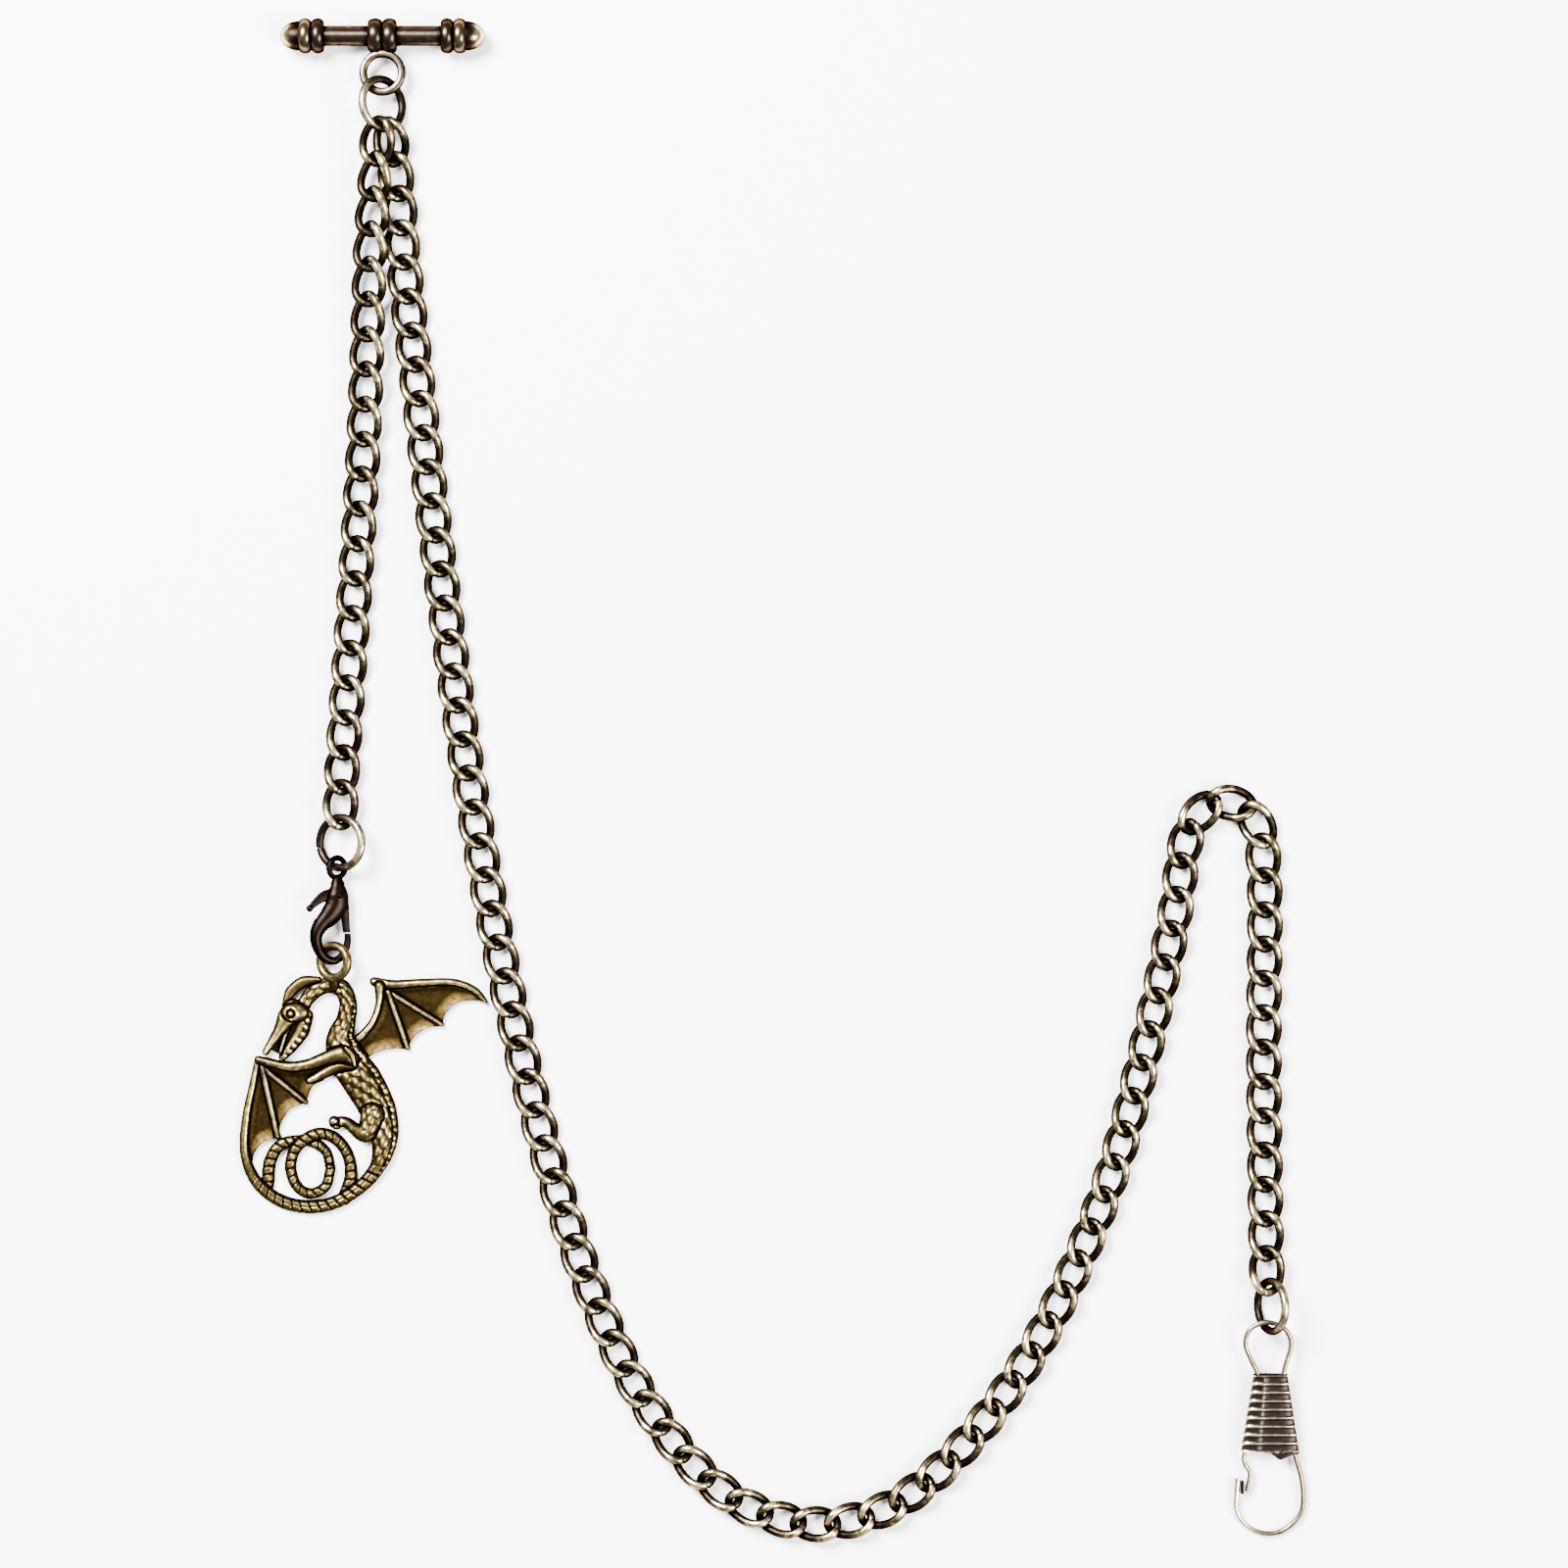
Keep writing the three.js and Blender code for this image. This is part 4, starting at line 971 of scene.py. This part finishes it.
def dragon_relief():
    relief = Relief()
    relief.skin(LEFT_SKIN, 0.86, 0.32, 0.14)
    relief.skin(RIGHT_SKIN, 0.86, 0.32, 0.14)
    for root, tip, reach in (
        ((-11.9, -17.2), (-4.7, -23.0), 0.46),
        ((-11.9, -17.2), (-9.3, -28.6), 0.52),
        ((8.9, -5.0), (17.5, -10.3), 0.44),
        ((8.7, -5.0), (11.9, -14.1), 0.5),
    ):
        relief.tube([root, tip], [reach, reach * 0.9], 0.62, 1.24)
    relief.tube(
        [(6.4, -3.3), (9.6, -3.75), (14.2, -3.45), (19.7, -3.45), (22.9, -4.7), (24.6, -6.5)],
        [0.75, 0.75, 0.62, 0.58, 0.55, 0.35],
        0.62,
        1.42,
    )
    relief.tube(
        [(7.3, -4.0), (7.2, -6.8), (6.2, -9.8), (4.7, -11.7), (2.9, -13.4)],
        [0.9, 0.6, 0.6, 0.65, 0.8], 0.6, 1.5,
    )
    relief.tube(DRAGON_TAIL[11:], [0.85, 0.85, 0.9, 0.95, 1.0, 1.05, 1.1], 0.62, 1.4, tail_pattern)
    relief.tube(
        DRAGON_TAIL[:12],
        [1.2, 1.05, 1.0, 1, 1, 1, 0.95, 0.95, 0.9, 0.9, 0.9, 0.85], 0.62, 1.5, tail_pattern,
    )
    relief.tube(
        DRAGON_SPINE,
        SPINE_WIDTHS, 0.72, lambda width: np.minimum(1.96, 1.1 + 0.42 * width), spine_pattern,
    )
    relief.tube(
        [(6.2, -25.0), (5.0, -28.0), (3.4, -27.4), (1.8, -26.2), (0.0, -26.3)],
        [2.0, 1.5, 1.05, 0.85, 1.0],
        1.0,
        2.0,
        leg_pattern,
    )
    relief.dome((-0.1, -26.0), (0.95, 0.8), 0.8, 1.9)
    relief.dome((0.3, -27.0), (0.7, 0.5), 0.8, 1.5)
    relief.tube(
        [(2.8, -16.8), (0.4, -17.2), (-1.8, -18.3), (-4.2, -19.4)],
        [1.0, 1.05, 0.9, 0.4], 0.72, 1.55,
    )
    relief.tube(
        [(3.0, -15.9), (1.2, -15.1), (-1.4, -15.8), (-4.4, -16.8), (-7.6, -17.1), (-12.4, -16.0)],
        [1.1, 1.5, 1.15, 0.9, 0.8, 0.6],
        0.8,
        lambda width: np.minimum(2.0, 1.1 + 0.6 * width),
    )
    relief.tube([(1.9, -14.1), (2.9, -15.3), (3.4, -16.9)], [0.3, 0.42, 0.25], 1.6, 2.1)
    relief.tube(
        [(-0.6, -3.7), (-2.6, -4.4), (-4.4, -6.0), (-5.6, -8.0)],
        [1.3, 1.3, 1.2, 1.2], 0.8, 1.7, neck_pattern,
    )
    relief.tube(
        [(-2.6, -2.9), (-5.2, -3.4), (-7.2, -5.0), (-8.3, -7.6)],
        [0.45, 1.0, 0.95, 0.45], 0.7, 1.6, None, 0.1,
    )
    relief.tube(
        [(-4.7, -8.9), (-5.4, -11.4), (-7.0, -13.8), (-8.5, -15.6)],
        [1.2, 1.25, 1.0, 0.7], 0.75, 1.6, jaw_pattern,
    )
    relief.skin(MOUTH, 0.62, 0.1, 0.0)
    relief.tube([(-7.0, -9.8), (-8.1, -12.2), (-8.9, -14.9)], [0.3, 0.34, 0.3], 0.62, 1.25)
    relief.tube(
        [(-6.8, -7.6), (-7.7, -8.9), (-9.0, -11.2), (-10.3, -13.2), (-11.3, -14.8)],
        [1.5, 1.6, 1.0, 0.75, 0.6], 0.8, 1.8,
    )
    relief.dome((-6.4, -8.3), (2.2, 1.6), 1.05, 1.95)
    relief.ring((-7.1, -8.5), 1.0, 0.22, 0.16)
    relief.ring((-7.1, -8.5), 0.6, 0.22, -0.42)
    relief.ring((-7.1, -8.5), 0.0, 0.34, 0.2)
    relief.height = np.clip(relief.height, 0.42, CHARM_TOP)
    return relief


def blurred(field, within, reach):
    """The field's mean over what is near and inside the outline."""
    total, weight = field * within, within.astype(float)
    for axis in (0, 1, 0, 1):
        moved = []
        for values in (total, weight):
            margins = [(reach + 1, reach) if side == axis else (0, 0) for side in (0, 1)]
            sums = np.cumsum(np.pad(values, margins), axis)
            count = values.shape[axis]
            high = np.take(sums, np.arange(2 * reach + 1, 2 * reach + 1 + count), axis)
            moved.append((high - np.take(sums, np.arange(count), axis)) / (2 * reach + 1))
        total, weight = moved
    return total / np.maximum(weight, 1e-6)


def relief_part(relief):
    """The field of heights as a closed mesh with a flat back, its border moved onto the outline."""
    inside, rows, columns = relief.inside, *relief.inside.shape
    middle = (inside[:-1, :-1] + inside[1:, :-1] + inside[:-1, 1:] + inside[1:, 1:]) / 4
    kept = middle > 0
    touched = np.zeros((rows, columns), int)
    for across in (0, 1):
        for up in (0, 1):
            touched[across : rows - 1 + across, up : columns - 1 + up] += kept
    border = (touched > 0) & (touched < 4)
    slope_x, slope_y = np.gradient(inside, CHARM_GRID)
    steepness = np.maximum(slope_x**2 + slope_y**2, 0.25)
    limit = 0.75 * CHARM_GRID
    shift_x = np.where(border, np.clip(-inside * slope_x / steepness, -limit, limit), 0)
    shift_y = np.where(border, np.clip(-inside * slope_y / steepness, -limit, limit), 0)
    within = inside > 0
    close = relief.height - blurred(relief.height, within, 3)
    wide = relief.height - blurred(relief.height, within, 10)
    worn = 0.5 + 1.35 * close + 0.5 * wide + 0.12 * (relief.height - 1.2)
    worn -= 0.06 * smoothstep(0.9, 0.7, relief.height)
    height = np.where(border, relief.rim * 0.9, relief.height)
    used = touched > 0
    number = np.full((rows, columns), -1)
    number[used] = np.arange(used.sum())
    top = np.stack([(relief.x + shift_x)[used], (relief.y + shift_y)[used], height[used]], 1)
    bottom = top * [1, 1, 0]
    i, j = np.nonzero(kept)
    corners = np.stack([number[i, j], number[i + 1, j], number[i + 1, j + 1], number[i, j + 1]], 1)
    count = len(top)
    faces = [tuple(face) for face in corners.tolist()]
    faces += [tuple(face) for face in (corners[:, ::-1] + count).tolist()]
    edges = {}
    for face in corners.tolist():
        for start, end in zip(face, face[1:] + face[:1]):
            edges[(start, end)] = True
    open_edges = [(start, end) for start, end in edges if (end, start) not in edges]
    faces += [(end, start, start + count, end + count) for start, end in open_edges]
    wear_and_shade = np.concatenate([np.clip(worn[used], 0, 1), np.full(count, 0.3)])
    return np.vstack([top, bottom]), faces, wear_and_shade


def charm_part():
    casting = relief_part(dragon_relief())
    line = ring_line((BAIL_OUTER - BAIL_WIRE) / 2, 0, 0, 97)[:-1] @ turned(0, -0.5, 0).T
    bail, bail_faces, outward = tube(line, BAIL_WIRE / 2, BAIL_WIRE / 2, 24, closed=True)
    # painted light: the bail is lighter where it faces up, darker below
    bail_tone_and_shade = 0.2 + 0.6 * smoothstep(-0.2, 0.95, outward[:, 2])
    root = through([(0.0, -2.7, 2.0), (0.0, -3.4, 1.75), (0.0, -4.2, 1.2)], 6)
    root_points, root_faces, root_out = tube(root, 0.85, 0.8, 18)
    to_frame = BAIL_CENTRE * [1, 1, 0]
    return joined(
        [
            (casting[0] + to_frame, casting[1], casting[2]),
            (bail + BAIL_CENTRE, bail_faces, bail_tone_and_shade),
            # painted light: the stem under the bail is lighter where it faces up
            (root_points + to_frame, root_faces, 0.3 + 0.3 * smoothstep(0, 1, root_out[:, 2])),
        ]
    )


add_piece(
    "dragon_charm_casting", charm_part(), "dragon_charm", "charm_brass", CHARM_BRASS, "dragon_charm"
)


# ---------- watch clip ----------
# Its own frame has the top of its wire loop at the origin and the hook towards -Y.

CLIP_TOP = np.array([81.2, -88.3, 3.5])
CLIP_TURN = turned(0.085, 0, 0)
CLIP_WIRE = 0.82
GATE_WIRE = 0.75
CLIP_LOOP_AND_HOOK = [
    (-2.9, -15), (-2.1, -8.6), (-3.2, -6.0), (-4.15, -3.4), (-3.5, -1.1), (-2.0, -0.1), (-0.5, 0.2),
    (1.9, -0.6), (3.1, -2.3), (3.25, -3.8), (2.1, -8.6), (3.0, -15), (4.0, -21.4), (5.1, -25.4),
    (5.45, -28.6), (5.25, -30.8), (4.08, -32.7), (1.93, -34.3), (-0.2, -34.7), (-2.57, -34.1),
    (-4.71, -32.3), (-5.5, -30.3), (-5.46, -28.6), (-5.25, -25.6),
]
CLIP_GATE = [
    (-3.9, -20.1), (-3.95, -20.8), (-4.35, -22.2), (-3.9, -23.5), (-3.3, -24.5), (-3.4, -25.8),
    (-3.75, -27.7),
]
SLEEVE_TOP = -8.4
SLEEVE_BOTTOM = -21.0
SLEEVE_HALF_WIDTHS = (2.9, 4.87)
SLEEVE_HALF_THICKNESS = 1.3
SLEEVE_WALL = 0.3
SLEEVE_RIBS = 9
RIB_DEPTH = 0.16
FOLD_STEP = 0.1
LATCH_LOW = (-4.75, -28.0, -0.62)
LATCH_HIGH = (-4.2, -26.0, 0.62)
# The sleeve's front ends in a tongue: (across, along) points of its lower edge.
TONGUE = [(-5.0, -20.9), (-3.6, -20.95), (-0.2, -21.05), (1.6, -22.4), (3.1, -21.7), (5.0, -21.4)]


def in_clip(points):
    return points @ CLIP_TURN.T + CLIP_TOP


def clip_wire_part():
    line = through(plane_points(CLIP_LOOP_AND_HOOK), 9)
    half = np.full(len(line), CLIP_WIRE / 2)
    end = smoothstep(0.93, 0.965, np.linspace(0, 1, len(line)))
    points, faces, outward = tube(line, half * (1 + 0.18 * end), half * (1 - 0.1 * end), 16)
    # painted light: the wire is lighter where it faces up; the hook's lower left and the wire's flattened end
    # are lighter again
    lit_from_above = smoothstep(-0.5, 0.9, outward[:, 2])
    left = smoothstep(1.0, -5.0, points[:, 0]) * smoothstep(-24, -27, points[:, 1])
    wear_and_shade = 0.16 + 0.44 * lit_from_above + 0.34 * left * lit_from_above + 0.2 * np.repeat(end, 16)
    return in_clip(points), faces, wear_and_shade


def clip_gate_part():
    line = through(plane_points(CLIP_GATE), 9)
    points, faces, outward = tube(line, GATE_WIRE / 2, GATE_WIRE / 2, 16)
    # painted light: the gate wire is lighter where it faces up
    return in_clip(points), faces, 0.2 + 0.5 * smoothstep(-0.5, 0.9, outward[:, 2])


def sleeve_sheet(levels, sides, inset):
    """A grid of points over the flattened tube, and a tone for each, with a painted highlight along the
    fold's edge.
    """
    angle = np.arange(sides) * FULL_TURN / sides
    across = np.sign(np.cos(angle)) * np.abs(np.cos(angle)) ** 0.5
    up = np.sign(np.sin(angle)) * np.abs(np.sin(angle)) ** 0.5
    front = up > 0
    share = np.linspace(0, 1, levels)[:, None]
    half_width = SLEEVE_HALF_WIDTHS[0] + (SLEEVE_HALF_WIDTHS[1] - SLEEVE_HALF_WIDTHS[0]) * share
    edge_x, edge_y = zip(*TONGUE)
    lower = np.where(front, np.interp(SLEEVE_HALF_WIDTHS[1] * across, edge_x, edge_y), SLEEVE_BOTTOM)
    along = SLEEVE_TOP + (SLEEVE_BOTTOM - SLEEVE_TOP) * share
    along = along + (lower - SLEEVE_BOTTOM) * smoothstep(0.94, 1, share)
    ribbed = np.clip((SLEEVE_TOP - along) / (SLEEVE_TOP - SLEEVE_BOTTOM), 0, 1) * SLEEVE_RIBS
    crest = np.abs(np.cos(math.pi * ribbed)) ** 7 * (along > SLEEVE_BOTTOM - 0.05)
    fold = -0.9 - 0.95 * share
    flap = smoothstep(0.12, -0.12, half_width * across - fold) * front
    groove = RIB_DEPTH * (1 - crest)
    x = (half_width - groove - inset) * across
    z = (SLEEVE_HALF_THICKNESS - groove - inset) * up
    z = z + FOLD_STEP * flap * (inset == 0) - FOLD_STEP * front
    # painted highlight: a thin bright line along the fold's edge; the rib crests, the sides and the raised
    # flap are lighter too
    edge = np.exp(-(((half_width * across - fold) / 0.16) ** 2)) * front
    rim = smoothstep(0.6, 1.0, np.abs(across)) * 0.16
    wear_and_shade = 0.3 + 0.58 * crest + 0.34 * edge * (1 - crest) + rim + 0.12 * flap
    grid = np.stack([x, along + 0 * x, z], 2)
    return grid.reshape(-1, 3), (wear_and_shade + 0 * x).ravel()


def sleeve_part():
    levels, sides = 118, 96
    outer, outer_wear_and_shade = sleeve_sheet(levels, sides, 0)
    inner, _ = sleeve_sheet(levels, sides, SLEEVE_WALL)
    points = np.vstack([outer, inner])
    inner_start = levels * sides
    faces = []
    for level in range(levels - 1):
        for side in range(sides):
            turn = (side + 1) % sides
            here, there = level * sides, (level + 1) * sides
            faces.append((here + side, here + turn, there + turn, there + side))
            quad = (there + side, there + turn, here + turn, here + side)
            faces.append(tuple(inner_start + corner for corner in quad))
    last = (levels - 1) * sides
    for side in range(sides):
        turn = (side + 1) % sides
        faces.append((side, inner_start + side, inner_start + turn, turn))
        faces.append((last + side, last + turn, inner_start + last + turn, inner_start + last + side))
    wear_and_shade = np.concatenate([outer_wear_and_shade, np.full(len(inner), 0.05)])
    return in_clip(points), faces, wear_and_shade


def latch_part():
    """The folded channel on the gate's end, as a solid bar of rounded square section."""
    low, high = np.array(LATCH_LOW), np.array(LATCH_HIGH)
    middle = (low + high) / 2
    line = np.array([(middle[0], y, middle[2]) for y in np.linspace(high[1], low[1], 16)])
    half = (high - low) / 2
    points, faces, _ = tube(line, half[0], half[2], 20, square=0.4)
    return in_clip(points), faces, np.full(len(points), 0.16)


add_piece("clip_loop_and_hook", clip_wire_part(), "clip", "clip_wire_brass", CLIP_BRASS, "clip_wire")
add_piece("clip_folded_sleeve", sleeve_part(), "clip", "clip_sleeve_brass", SLEEVE_BRASS, "clip_sleeve")
add_piece("clip_gate_wire", clip_gate_part(), "clip_gate", "clip_wire_brass", CLIP_BRASS, "clip_gate")
add_piece(
    "clip_latch", latch_part(), "clip_gate", "clip_sleeve_brass", SLEEVE_BRASS, "clip_latch_channel"
)


# ---------- camera, floor and lights ----------

VIEW_CENTRE = (2.0, -0.56)
VIEW_WIDTH = 256.0
CAMERA_HEIGHT = 900.0
SENSOR = 36.0


def add_floor():
    bpy.ops.mesh.primitive_plane_add(size=6, location=(0, 0, -0.0001))
    floor = bpy.context.object
    floor.name = "floor"
    material = bpy.data.materials.new("floor")
    material.use_nodes = True
    shader = material.node_tree.nodes["Principled BSDF"]
    shader.inputs["Base Color"].default_value = (0.95, 0.95, 0.95, 1)
    shader.inputs["Roughness"].default_value = 0.9
    floor.data.materials.append(material)


def add_area_light(name, place, size, energy):
    light = bpy.data.lights.new(name, "AREA")
    light.shape = "RECTANGLE"
    light.size, light.size_y = size
    light.energy = energy
    lamp = bpy.data.objects.new(name, light)
    bpy.context.scene.collection.objects.link(lamp)
    lamp.location = place
    aim = -lamp.location
    lamp.rotation_euler = aim.to_track_quat("-Z", "Y").to_euler()


def add_camera():
    camera = bpy.data.cameras.new("camera")
    camera.lens = SENSOR * CAMERA_HEIGHT / VIEW_WIDTH
    camera.sensor_width = SENSOR
    camera.clip_start = 0.01
    holder = bpy.data.objects.new("camera", camera)
    bpy.context.scene.collection.objects.link(holder)
    holder.location = (VIEW_CENTRE[0] * MM, VIEW_CENTRE[1] * MM, CAMERA_HEIGHT * MM)
    bpy.context.scene.camera = holder


def add_world():
    world = bpy.data.worlds.new("studio")
    world.use_nodes = True
    background = world.node_tree.nodes["Background"]
    background.inputs["Color"].default_value = (1, 1, 1, 1)
    background.inputs["Strength"].default_value = 0.6
    bpy.context.scene.world = world


add_floor()
add_world()
add_area_light("key_light", (-0.4, 0.42, 0.8), (0.4, 0.4), 82)
add_area_light("fill_light", (0.6, -0.25, 0.75), (0.45, 0.45), 38)
add_camera()
